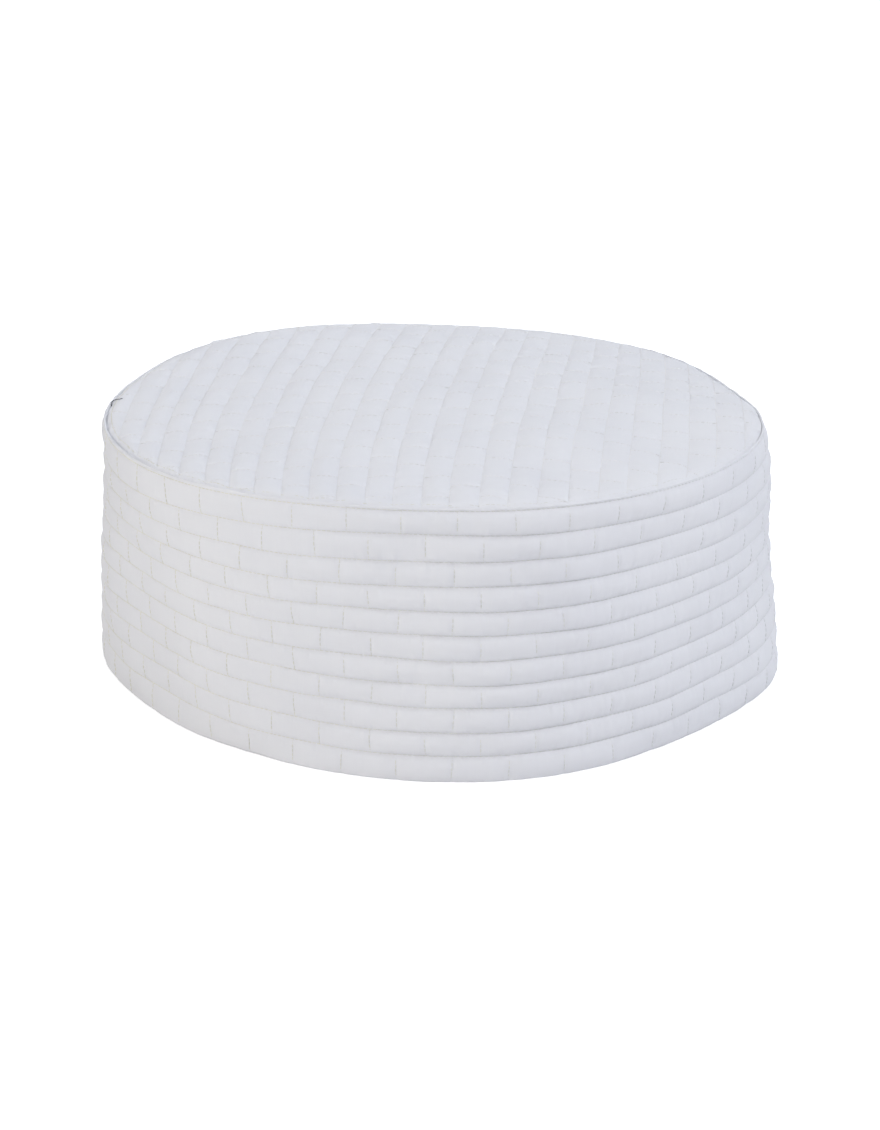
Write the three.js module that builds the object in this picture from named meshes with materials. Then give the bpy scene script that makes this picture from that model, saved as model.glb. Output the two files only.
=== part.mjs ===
// Quilted cotton skullcap (kufi, taqiyah), millimetres, +Z up.
//
// The cap stands on its open lower edge. Its side band and its crown are cut
// from the same brick-quilted cloth: outer cotton, a thin wadding and a cotton
// lining, held together by rows of lockstitch. Each layer, each run of
// needle thread and each run of bobbin thread is a separate closed solid.
//
// Frame: X and Y across the head, +Y along the crown's quilting rows from the
// wearer's forehead to the back of the head, origin at the bottom centre of the
// box round the cap.

import * as THREE from 'three';

// ---------------------------------------------------------------- dimensions
const HEAD_RADIUS = 93;          // mean radius of the crown seam (58 cm head)
const BAND_HEIGHT = 73.7;        // lower edge to crown seam, mean
const LOWER_RADIUS = 0.996;      // lower edge, as a share of HEAD_RADIUS
const CENTRE_SHIFT = [0.93, -0.72]; // moves the box centre onto the origin

// the outlines are irregular ovals: [order, cos, sin] as shares of the radius
const TOP_OUTLINE = [[2, -0.0182, 0.0154], [3, -0.0172, -0.0125], [4, -0.0068, -0.0146],
  [5, 0.0034, -0.0040], [6, 0.0028, 0.0013], [7, -0.0023, -0.0015]];
const TOP_SHIFT = [0.0030, 0.0041];
const LOWER_OUTLINE = [[2, 0.0110, -0.0139], [3, -0.0152, 0.0276], [4, 0.0192, -0.0082],
  [5, 0.0106, 0.0098]];
// the crown seam rises and falls a little round the cap
const SEAM_WAVE = [[1, -0.0104, 0.0129], [2, 0.0017, -0.0160], [3, 0.0115, 0.0042]];

// edges of the band's eleven quilted channels, as shares of the height from
// the crown seam (0) to the lower edge (1)
const CHANNEL_EDGES = [0.085, 0.184, 0.280, 0.369, 0.461, 0.551, 0.641, 0.728, 0.819, 0.907];

const SEGMENTS = 36;             // straight pieces round the cap
const CHANNEL_PUFF = 1.2;        // how far a channel stands out from its seams
const CLOTH = 0.5;               // outer cotton and lining
const WADDING = 1.0;
const GAP = 0.32;                // clearance between neighbouring solids
const THREAD = 0.42;             // side of a thread's triangular section
const HEM_DEPTH = 3.5;           // width of the flat turned edge
const RIM_RISE = 1.1;            // folded rim above the crown seam
const RIM_DEPTH = 2.0;
const CROWN_DROP = 0.3;          // crown edge below the seam line
const CROWN_DOME = 3.0;          // rise of the crown's middle
const FACING_TOP = 11.0;         // height of the facing behind the hem
const BINDING_WIDTH = 5.5;       // tape over the crown seam's allowance
const BINDING_THICK = 1.1;
const ROW_PITCH = 7.68;          // crown quilting rows
const ROW_OFFSET = 0.9;          // first row from the middle
const TAPE_WIDTH = 9.0;          // tape over the band's joining seam
const TAPE_THICK = 0.6;

// -------------------------------------------------------------------- shapes
const TAU = Math.PI * 2;
const wave = (table, a) => table.reduce((s, [k, c, d]) => s + c * Math.cos(k * a) + d * Math.sin(k * a), 0);
const topRadius = (a) => HEAD_RADIUS * (1 + wave(TOP_OUTLINE, a));
const lowRadius = (a) => HEAD_RADIUS * LOWER_RADIUS * (1 + wave(LOWER_OUTLINE, a));
const seamZ = (a) => BAND_HEIGHT + HEAD_RADIUS * wave(SEAM_WAVE, a);
const TOP_C = [HEAD_RADIUS * TOP_SHIFT[0], HEAD_RADIUS * TOP_SHIFT[1]];

function wallPoint(a, share) {   // share: 0 at the crown seam, 1 at the lower edge
  const rt = topRadius(a), rl = lowRadius(a), c = Math.cos(a), s = Math.sin(a);
  return [(rt * c + TOP_C[0]) * (1 - share) + rl * c * share,
    (rt * s + TOP_C[1]) * (1 - share) + rl * s * share];
}

// a point on the wall at angle a and height z, moved out by u
function wall(a, z, u) {
  const share = Math.min(1, Math.max(0, 1 - z / seamZ(a)));
  const [x, y] = wallPoint(a, share);
  const [x1, y1] = wallPoint(a + 0.01, share), [x0, y0] = wallPoint(a - 0.01, share);
  const tx = x1 - x0, ty = y1 - y0, l = Math.hypot(tx, ty);
  return [x + u * ty / l + CENTRE_SHIFT[0], y - u * tx / l + CENTRE_SHIFT[1], z];
}
const angle = (i, n = SEGMENTS) => (i / n) * TAU - Math.PI / 2;

function geometry(points, faces) {
  const g = new THREE.BufferGeometry();
  g.setAttribute('position', new THREE.Float32BufferAttribute(points.flat(), 3));
  g.setIndex(faces.flat());
  g.computeVertexNormals();
  return g;
}

// A closed ring: section(a) gives the same number of [z, u] corners at each
// angle, in order round the section (anticlockwise when u runs right and z up).
function ring(section, n = SEGMENTS) {
  const points = [], faces = [];
  let m = 0;
  for (let i = 0; i < n; i++) {
    const a = angle(i, n), s = section(a);
    m = s.length;
    for (const [z, u] of s) points.push(wall(a, z, u));
  }
  for (let i = 0; i < n; i++) {
    const i2 = (i + 1) % n;
    for (let j = 0; j < m; j++) {
      const j2 = (j + 1) % m;
      const p = i * m + j, q = i2 * m + j, r = i2 * m + j2, t = i * m + j2;
      // every layer splits its facets along the same diagonal, so that the
      // clearance between layers holds where the wall twists
      if (points[t][2] >= points[p][2]) faces.push([p, q, r], [p, r, t]);
      else faces.push([p, q, t], [q, r, t]);
    }
  }
  return geometry(points, faces);
}

// The crown's surface: height at polar angle a and share t of the way out.
const crownZ = (a, t) => BAND_HEIGHT + CROWN_DOME * (1 - t * t) + (seamZ(a) - BAND_HEIGHT) * t * t;
function crownPoint(a, inset, t, dz) {
  const r = (topRadius(a) - inset) * t;
  return [TOP_C[0] + r * Math.cos(a) + CENTRE_SHIFT[0], TOP_C[1] + r * Math.sin(a) + CENTRE_SHIFT[1],
    crownZ(a, r / topRadius(a)) + dz];
}

// A closed disc that follows the crown: dzTop and dzLow are heights above it.
function disc(inset, dzTop, dzLow, steps = [0.25, 0.5, 0.75, 1], n = SEGMENTS) {
  const points = [], faces = [], m = steps.length;
  for (const dz of [dzTop, dzLow]) {
    points.push(crownPoint(0, inset, 0, dz));
    for (const t of steps) for (let i = 0; i < n; i++) points.push(crownPoint(angle(i, n), inset, t, dz));
  }
  const half = 1 + m * n;
  const at = (side, k, i) => side * half + 1 + k * n + (i % n);
  for (let i = 0; i < n; i++) {
    faces.push([0, at(0, 0, i), at(0, 0, i + 1)], [half, at(1, 0, i + 1), at(1, 0, i)]);
    for (let k = 0; k + 1 < m; k++) {
      faces.push([at(0, k, i), at(0, k + 1, i), at(0, k + 1, i + 1)], [at(0, k, i), at(0, k + 1, i + 1), at(0, k, i + 1)]);
      faces.push([at(1, k, i), at(1, k + 1, i + 1), at(1, k + 1, i)], [at(1, k, i), at(1, k, i + 1), at(1, k + 1, i + 1)]);
    }
    faces.push([at(0, m - 1, i), at(1, m - 1, i), at(1, m - 1, i + 1)], [at(0, m - 1, i), at(1, m - 1, i + 1), at(0, m - 1, i + 1)]);
  }
  return geometry(points, faces);
}

// An open run of thread: a triangular section swept along points, ends closed.
function run(path, up, side = THREAD) {
  const points = [], faces = [], n = path.length;
  const v = path.map((p) => new THREE.Vector3(...p));
  for (let i = 0; i < n; i++) {
    const before = v[Math.max(0, i - 1)], after = v[Math.min(n - 1, i + 1)];
    const d0 = v[i].clone().sub(before), d1 = after.clone().sub(v[i]);
    if (i === 0) d0.copy(d1);
    if (i === n - 1) d1.copy(d0);
    d0.normalize(); d1.normalize();
    const t = d0.clone().add(d1).normalize();
    const wide = 1 / Math.max(0.6, t.dot(d0));
    const b = t.clone().cross(up).normalize();
    const w = b.clone().cross(t).normalize();
    for (let k = 0; k < 3; k++) {
      const c = Math.PI / 2 + (k * TAU) / 3, r = side / Math.sqrt(3);
      const q = v[i].clone().addScaledVector(b, r * Math.cos(c) * wide).addScaledVector(w, r * Math.sin(c));
      points.push([q.x, q.y, q.z]);
    }
  }
  for (let i = 0; i + 1 < n; i++) for (let k = 0; k < 3; k++) {
    const k2 = (k + 1) % 3, p = i * 3 + k, q = i * 3 + k2, r = (i + 1) * 3 + k2, t = (i + 1) * 3 + k;
    faces.push([p, r, q], [p, t, r]);
  }
  faces.push([0, 1, 2], [(n - 1) * 3, (n - 1) * 3 + 2, (n - 1) * 3 + 1]);
  return geometry(points, faces);
}

// -------------------------------------------------------------------- colours
const cotton = new THREE.MeshStandardMaterial({ color: 0xe9eaf0, roughness: 0.9, metalness: 0 });
const cottonInside = new THREE.MeshStandardMaterial({ color: 0xe6e6ea, roughness: 0.92, metalness: 0 });
const waddingMaterial = new THREE.MeshStandardMaterial({ color: 0xf4f4f2, roughness: 1, metalness: 0 });
const tape = new THREE.MeshStandardMaterial({ color: 0xecebe8, roughness: 0.85, metalness: 0 });
const thread = new THREE.MeshStandardMaterial({ color: 0xe0dac4, roughness: 0.6, metalness: 0 });
const darkThread = new THREE.MeshStandardMaterial({ color: 0x2a2b33, roughness: 0.6, metalness: 0 });

const cap = new THREE.Group();
const band = new THREE.Group();
const crown = new THREE.Group();
const seams = new THREE.Group();
cap.add(band, crown, seams);
function add(group, name, shape, material) {
  const mesh = new THREE.Mesh(shape, material);
  mesh.name = name;
  group.add(mesh);
}

// ----------------------------------------------------------------------- band
// depths of the layers behind the channel seams; each layer has corners at
// a few levels, because the wall twists a little between its two outlines
const shellIn = -CLOTH;
const padOut = shellIn - GAP, padIn = padOut - WADDING;
const liningOut = padIn - GAP, liningIn = liningOut - CLOTH;
const stitchIn = liningIn - GAP;             // face of what lies on the lining

// outer cotton: quilted face, flat turned edge below, folded rim above
add(band, 'band_shell', ring((a) => {
  const h = seamZ(a), s = [];
  s.push([0, -HEM_DEPTH], [0, -0.35], [0.5, 0.15]);
  const edges = [...CHANNEL_EDGES].reverse();
  let low = 0;
  for (const e of [...edges, 0]) {
    const top = (1 - e) * h, tall = top - low;
    if (low > 0) s.push([low + 0.26 * tall, CHANNEL_PUFF]);
    else s.push([0.32 * tall, CHANNEL_PUFF * 0.8]);
    s.push([low + 0.74 * tall, CHANNEL_PUFF]);
    if (e > 0) s.push([top, 0]);
    low = top;
  }
  s.push([h + 0.2, 0.3], [h + RIM_RISE, -0.5], [h + RIM_RISE - 0.1, -RIM_DEPTH + 0.3], [h - 0.1, -RIM_DEPTH],
    [h - 0.75, -RIM_DEPTH], ...[1, 2 / 3, 1 / 3, 0].map((k) => [CLOTH + (h - 0.75 - CLOTH) * k, shellIn]),
    [CLOTH, -HEM_DEPTH]);
  return s;
}), cotton);

const padTop = (a) => seamZ(a) - 0.75 - GAP;
const padLow = CLOTH + GAP;
const LEVELS = [0, 1 / 3, 2 / 3, 1];
const box = (top, low, out, inn) => ring((a) => [
  ...LEVELS.map((k) => [low(a) + (top(a) - low(a)) * k, out]),
  ...[...LEVELS].reverse().map((k) => [low(a) + (top(a) - low(a)) * k, inn])]);
add(band, 'band_wadding', box(padTop, () => padLow, padOut, padIn), waddingMaterial);
add(band, 'band_lining', box(padTop, () => padLow, liningOut, liningIn), cottonInside);
add(band, 'hem_facing', box(() => FACING_TOP, () => padLow, stitchIn, stitchIn - CLOTH), cottonInside);

// lockstitch rows: needle thread in each channel seam, bobbin thread inside
const two = (i) => String(i).padStart(2, '0');
CHANNEL_EDGES.forEach((e, i) => {
  const z = (a) => (1 - e) * seamZ(a);
  add(band, `band_needle_thread_${two(i + 1)}`, ring((a) => [[z(a) - THREAD / 2, GAP + 0.12],
    [z(a), GAP + 0.12 + THREAD * 0.87], [z(a) + THREAD / 2, GAP + 0.12]]), thread);
  const face = i === CHANNEL_EDGES.length - 1 ? stitchIn - CLOTH - GAP : stitchIn;
  add(band, `band_bobbin_thread_${two(i + 1)}`, ring((a) => [[z(a) - THREAD / 2, face],
    [z(a) + THREAD / 2, face], [z(a), face - THREAD * 0.87]]), thread);
});

// ---------------------------------------------------------------------- crown
const shellInset = RIM_DEPTH + GAP + 0.05;
const layerInset = -liningIn + GAP + 0.1;
const shellLow = -CROWN_DROP - CLOTH;
const padHigh = shellLow - GAP, padDown = padHigh - WADDING;
const liningHigh = padDown - GAP, liningDown = liningHigh - CLOTH;
add(crown, 'crown_shell', disc(shellInset, -CROWN_DROP, shellLow), cotton);
add(crown, 'crown_wadding', disc(layerInset, padHigh, padDown), waddingMaterial);
add(crown, 'crown_lining', disc(layerInset, liningHigh, liningDown), cottonInside);

// One run of thread to and fro along the crown's rows. The real rows are each
// cut off at the seam; the short links lie where the seam hides them.
function rows(inset, dz) {
  const path = [];
  let flip = false;
  for (let k = -11; k <= 11; k++) {
    const x = ROW_OFFSET + k * ROW_PITCH;
    const ends = [];
    for (const s of [-1, 1]) {           // where this row meets the inset outline
      let lo = 0, hi = HEAD_RADIUS * 1.2;
      for (let j = 0; j < 40; j++) {
        const y = (lo + hi) / 2, a = Math.atan2(s * y, x);
        if (Math.hypot(x, y) > topRadius(a) - inset) hi = y; else lo = y;
      }
      ends.push(s * lo);
    }
    if (ends[1] < 12) continue;
    const steps = Math.max(1, Math.round((ends[1] - ends[0]) / 32));
    const row = [];
    for (let j = 0; j <= steps; j++) {
      const y = ends[0] + ((ends[1] - ends[0]) * j) / steps;
      const a = Math.atan2(y, x), t = Math.hypot(x, y) / topRadius(a);
      row.push([x + TOP_C[0] + CENTRE_SHIFT[0], y + TOP_C[1] + CENTRE_SHIFT[1], crownZ(a, t) + dz]);
    }
    if (flip) row.reverse();
    flip = !flip;
    path.push(...row);
  }
  return path;
}
const UP = new THREE.Vector3(0, 0, 1);
add(crown, 'crown_needle_thread', run(rows(shellInset + 4.2, -CROWN_DROP + GAP + THREAD * 0.4), UP), thread);
add(crown, 'crown_bobbin_thread', run(rows(layerInset + BINDING_WIDTH + 1.2, liningDown - GAP - THREAD * 0.75), UP), thread);

// ---------------------------------------------------------------------- seams
// stitched line round the crown, just inside the rim
function crownRing(inset, section, n = SEGMENTS) {
  const points = [], faces = [], m = section.length;
  for (let i = 0; i < n; i++) for (const [dr, dz] of section) points.push(crownPoint(angle(i, n), inset - dr, 1, dz));
  for (let i = 0; i < n; i++) for (let j = 0; j < m; j++) {
    const i2 = (i + 1) % n, j2 = (j + 1) % m;
    faces.push([i * m + j, i2 * m + j, i2 * m + j2], [i * m + j, i2 * m + j2, i * m + j2]);
  }
  return geometry(points, faces);
}
const lineZ = -CROWN_DROP + GAP;
add(seams, 'crown_seam_thread', crownRing(shellInset + 1.6,
  [[-THREAD / 2, lineZ], [THREAD / 2, lineZ], [0, lineZ + THREAD * 0.87]]), thread);

// tape that binds the crown seam's allowance, flat against the crown's lining
const tapeZ = liningDown - GAP;
add(seams, 'crown_seam_binding', crownRing(layerInset,
  [[-BINDING_WIDTH, tapeZ - BINDING_THICK], [0, tapeZ - BINDING_THICK], [0, tapeZ], [-BINDING_WIDTH, tapeZ]]), tape);

// The band's two ends meet at the back of the head; a tape covers the join
// inside and one line of thread holds it. Both lie along one straight facet.
const backFacet = Math.round(SEGMENTS / 2);
function backStrip(half, zLow, zTop, out, inn) {
  const a0 = angle(backFacet), a1 = angle(backFacet + 1), points = [];
  for (const [z, u] of [[zLow, inn], [zLow, out], [zTop, out], [zTop, inn]]) {
    const p = wall(a0, z, u), q = wall(a1, z, u);
    const l = Math.hypot(q[0] - p[0], q[1] - p[1]);
    for (const s of [-half, half]) {
      const k = 0.5 + s / l;
      points.push([p[0] + (q[0] - p[0]) * k, p[1] + (q[1] - p[1]) * k, z]);
    }
  }
  // corners in pairs: 0,1 low in / 2,3 low out / 4,5 top out / 6,7 top in
  return geometry(points, [[0, 2, 4], [0, 4, 6], [1, 5, 3], [1, 7, 5],
    [0, 1, 3], [0, 3, 2], [2, 3, 5], [2, 5, 4], [4, 5, 7], [4, 7, 6], [6, 7, 1], [6, 1, 0]]);
}
const tapeTop = BAND_HEIGHT - 9, tapeOut = stitchIn - THREAD * 0.87 - GAP;
add(seams, 'back_seam_tape', backStrip(TAPE_WIDTH / 2, FACING_TOP + 0.6, tapeTop, tapeOut, tapeOut - TAPE_THICK), tape);
add(seams, 'back_seam_thread', backStrip(THREAD / 2, FACING_TOP + 2, tapeTop - 1.5,
  tapeOut - TAPE_THICK - GAP, tapeOut - TAPE_THICK - GAP - THREAD), thread);

// a short dark end of sewing thread that curls up from the crown seam
const TAIL_R = 1.1, tailA = 3.135, tailN = 12;
const tailBase = wall(tailA, seamZ(tailA), -0.6);
const tail = [];
for (let i = 0; i <= tailN; i++) {
  const c = (60 + (250 * i) / tailN) * Math.PI / 180;
  tail.push([tailBase[0] - 0.2 + TAIL_R * Math.cos(c), tailBase[1], seamZ(tailA) + RIM_RISE + GAP + 0.25 + TAIL_R + TAIL_R * Math.sin(c)]);
}
add(seams, 'loose_thread_end', run(tail, new THREE.Vector3(0, 1, 0), 0.36), darkThread);

export default cap;
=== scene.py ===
import math

import bpy
import numpy as np
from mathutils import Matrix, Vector


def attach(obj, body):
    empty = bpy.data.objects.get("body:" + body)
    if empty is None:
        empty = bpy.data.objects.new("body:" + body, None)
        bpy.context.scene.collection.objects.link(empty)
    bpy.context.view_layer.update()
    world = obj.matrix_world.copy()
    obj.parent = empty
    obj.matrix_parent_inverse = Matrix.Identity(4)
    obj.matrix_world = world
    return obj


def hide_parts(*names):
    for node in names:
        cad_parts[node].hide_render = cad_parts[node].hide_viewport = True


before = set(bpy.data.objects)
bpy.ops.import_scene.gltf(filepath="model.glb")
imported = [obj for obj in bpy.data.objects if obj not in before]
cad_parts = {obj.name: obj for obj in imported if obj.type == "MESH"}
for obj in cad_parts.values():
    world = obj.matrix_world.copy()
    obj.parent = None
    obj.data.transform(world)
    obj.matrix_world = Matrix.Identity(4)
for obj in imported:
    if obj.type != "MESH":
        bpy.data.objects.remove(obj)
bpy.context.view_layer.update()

# ------------------------------------------------------------------ the form
# Lengths are in millimetres until a mesh is written, then in metres.
MM = 0.001
R0, H0, RB = 93.0, 73.7, 0.996
TOP = [(2, -0.0182, 0.0154), (3, -0.0172, -0.0125), (4, -0.0068, -0.0146), (5, 0.0034, -0.0040), (6, 0.0028, 0.0013), (7, -0.0023, -0.0015)]
LOW = [(2, 0.0110, -0.0139), (3, -0.0152, 0.0276), (4, 0.0192, -0.0082), (5, 0.0106, 0.0098)]
WAVE = [(1, -0.0104, 0.0129), (2, 0.0017, -0.0160), (3, 0.0115, 0.0042)]
TOPC = np.array([0.0030, 0.0041]) * R0
SHIFT = np.array([0.93, -0.72])
EDGES = np.array([0, 0.085, 0.184, 0.280, 0.369, 0.461, 0.551, 0.641, 0.728, 0.819, 0.907, 1.0])
TAU = 2 * math.pi


def wave(table, a):
    return sum(c * np.cos(k * a) + d * np.sin(k * a) for k, c, d in table)


def bump(a, at, width):
    """One smooth bump round the head, at and width in degrees."""
    d = (np.degrees(a) - at + 180) % 360 - 180
    return np.exp(-((d / width) ** 2))


def top_r(a):
    return R0 * (1 + wave(TOP, a)) - 1.7 * bump(a, 27, 19) + 0.45 * bump(a, 186, 15)


def seam_z(a):
    return H0 + R0 * wave(WAVE, a) - 1.0 * bump(a, 27, 21)


FRONT = math.radians(275)  # s = 0 is at the front of the head, +s runs towards +X


class Wall:
    """The band's base surface: s is the length round the band from the front, h the share of the height below the crown seam."""

    def __init__(self, levels=23, n=3600):
        ph = FRONT + np.linspace(-math.pi, math.pi, n + 1)
        top = np.c_[top_r(ph) * np.cos(ph), top_r(ph) * np.sin(ph)] + TOPC
        rl = R0 * RB * (1 + wave(LOW, ph))
        low = np.c_[rl * np.cos(ph), rl * np.sin(ph)]
        z = seam_z(ph)
        self.h = np.linspace(0, 1, levels)
        self.sig = np.linspace(-0.5, 0.5, n + 1)
        self.x, self.y, self.z, self.nx, self.ny, self.per, ends = [], [], [], [], [], [], []
        for h in self.h:
            c = top * (1 - h) + low * h
            s = np.r_[0, np.cumsum(np.hypot(*np.diff(c, axis=0).T))]
            self.per.append(s[-1])
            s = (s - np.interp(FRONT, ph, s)) / s[-1]
            ends.append(s[0])
            x, y, zz = (np.interp(self.sig, s, k, period=1.0) for k in (c[:, 0], c[:, 1], z * (1 - h)))
            dx, dy = np.gradient(x), np.gradient(y)
            dx[0] = dx[-1] = (x[1] - x[-2]) / 2
            dy[0] = dy[-1] = (y[1] - y[-2]) / 2
            k = np.hypot(dx, dy)
            self.x.append(x), self.y.append(y), self.z.append(zz)
            self.nx.append(dy / k), self.ny.append(-dx / k)
        for k in ("x", "y", "z", "nx", "ny"):
            setattr(self, k, np.array(getattr(self, k)))
        self.P = float(np.mean(self.per))
        self.back = float(np.mean(ends)) * self.P  # where the band's two ends are joined

    def at(self, s, h):
        s, h = np.broadcast_arrays(np.asarray(s, float), np.asarray(h, float))
        f = (s / self.P + 0.5) % 1.0 * (len(self.sig) - 1)
        i = np.clip(f.astype(int), 0, len(self.sig) - 2)
        f = f - i
        g = np.clip(h, 0, 1) * (len(self.h) - 1)
        j = np.clip(g.astype(int), 0, len(self.h) - 2)
        g = g - j

        def mix(t):
            return (t[j, i] * (1 - f) + t[j, i + 1] * f) * (1 - g) + (t[j + 1, i] * (1 - f) + t[j + 1, i + 1] * f) * g

        nx, ny = mix(self.nx), mix(self.ny)
        k = np.hypot(nx, ny)
        return mix(self.x) + SHIFT[0], mix(self.y) + SHIFT[1], mix(self.z), nx / k, ny / k


wall = Wall()
P, BACK = wall.P, wall.back


def field(seed, ls, lz, n=28):
    """Smooth noise of about unit height. ls and lz are its wavelengths along s and across it; it closes round the band."""
    r = np.random.default_rng(seed)
    ks = np.round(P / ls * r.normal(0, 0.75, n) + np.sign(r.normal(size=n)) * P / ls * 0.35) * TAU / P
    kz = TAU / lz * r.normal(0, 0.8, n)
    ph = r.uniform(0, TAU, n)

    def f(s, z):
        out = 0.0
        for a, b, c in zip(ks, kz, ph):
            out = out + np.cos(a * s + b * z + c)
        return out * math.sqrt(2 / n)

    return f


# ------------------------------------------------------- the quilting pattern
BRICK = 14.783
FIRST = 2.795
# each channel's ticks drift a little along the band: offset, slope, curve
DRIFT = [(1.86, -1.24, -0.02), (0.76, 0.03, 1.06), (0.53, 0.06, 1.68), (0.44, -1.90, 2.97), (0.51, -2.23, 2.25), (0.53, -2.60, 2.64),
         (0.71, -1.40, 0.60), (0.87, -1.37, 0.77), (0.71, -0.73, 0.87), (0.58, -1.40, 1.06), (0.51, 0.06, 0.61)]
STITCHES = 436  # stitches in one row round the band
PITCH = P / STITCHES
tick_rng = np.random.default_rng(11)
TICKS = []
for j in range(11):
    k = np.arange(-21, 22) + (0.0 if j % 2 == 0 else 0.5)
    t = FIRST + BRICK * k
    x = np.clip(t, -150, 150) / 90
    a, b, c = DRIFT[j]
    fade = np.clip((165 - np.abs(t)) / 60, 0, 1)
    t = t + a + (b * x + c * x * x) * fade + tick_rng.normal(0, 0.22, len(t))
    TICKS.append(np.sort(t[(t > BACK + 1.5) & (t < BACK + P - 1.5)]))
TILT = [tick_rng.normal(0, 0.28, len(t)) for t in TICKS]

line_wave = [field(100 + j, 55, 40, 10) for j in range(12)]
big = field(1, 60, 60, 24)
mid = field(2, 17, 12, 30)
small = field(3, 5.0, 3.4, 36)
fine = field(4, 2.0, 2.4, 40)
pull = [field(200 + j, 3.1, 900, 24) for j in range(12)]
pull2 = [field(230 + j, 7.0, 900, 18) for j in range(12)]
puff_var = field(5, 30, 8, 24)


# how far each row of stitching lies below its even place, in mm, over s / 120 (powers 0 to 4) and the row (powers 0 to 3)
SAG = np.array([-0.2, -0.109, 0.216, -0.129, 0.386, 1.586, -0.292, -1.395, -2.582, -3.282, 2.857, -0.087, 0.031, -1.781, -0.321, 2.833, 1.024, 2.197, -0.91, 0.551]).reshape(5, 4)


def sag(s, q):
    s = (np.asarray(s, float) + P / 2) % P - P / 2
    x = np.clip(s / 120, -1, 1)
    j = (np.clip(q, 1, 10) - 5.5) / 5
    out = sum(SAG[a, b] * x**a * j**b for a in range(5) for b in range(4))
    return (out * np.clip((185 - np.abs(s)) / 65, 0, 1) + 0.17) * np.clip(q, 0, 1) * np.clip(11 - q, 0, 1)


def height_of(s, q):
    """Share of the height at pattern height q, where q = 0 is the crown seam, 1 to 10 are the rows of stitching and 11 is the lower edge."""
    q = np.asarray(q, float)
    j = np.clip(q.astype(int), 0, 10)
    w = q - j
    e = EDGES[j] * (1 - w) + EDGES[j + 1] * w
    out = np.zeros(np.broadcast(s, q).shape)
    for k in range(1, 11):
        m = np.clip(1 - np.abs(q - k), 0, 1)
        if np.any(m > 0):
            out = out + m * line_wave[k](s, 0.0) * 0.13 / H0
    return np.clip(e + out + sag(s, q) / H0, 0, 1)


def near_tick(s, j, w):
    """Signed distance along s to the nearest tick of channel j."""
    out = np.full(np.broadcast(s, w).shape, 99.0)
    s = np.broadcast_to(s, out.shape)
    w = np.broadcast_to(w, out.shape)
    j = np.broadcast_to(j, out.shape)
    for c in range(11):
        m = j == c
        if not m.any():
            continue
        t, tilt = TICKS[c], TILT[c]
        ss, ww = s[m], w[m]
        ss = (ss - BACK) % P + BACK
        i = np.clip(np.searchsorted(t, ss), 1, len(t) - 1)
        d0 = ss - t[i - 1] - tilt[i - 1] * (ww - 0.5)
        d1 = ss - t[i] - tilt[i] * (ww - 0.5)
        out[m] = np.where(np.abs(d0) < np.abs(d1), d0, d1)
    return out


PUFF = 1.42


def fullness(s):
    """The quilting stands out less on the left and at the sides than it does in front."""
    s = (np.asarray(s, float) + P / 2) % P - P / 2
    at = [-300, -210, -165, -130, -110, -88, -65, -50, -36, -20, 0, 20, 50, 75, 98, 122, 155, 200, 300]
    return np.interp(s, at, [0.75, 0.70, 0.50, 0.30, 0.32, 0.38, 0.33, 0.30, 0.42, 0.84, 1.0, 1.02, 0.95, 0.76, 0.62, 0.42, 0.40, 0.65, 0.75])


def bite_of(s):
    """How deep the rows of stitching sit in the cloth."""
    s1 = (np.asarray(s, float) + P / 2) % P - P / 2
    return (0.35 + 0.65 * fullness(s)) * np.interp(s1, [-120, -45, 0, 50, 110], [0.55, 0.75, 1.0, 0.85, 0.65])


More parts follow.
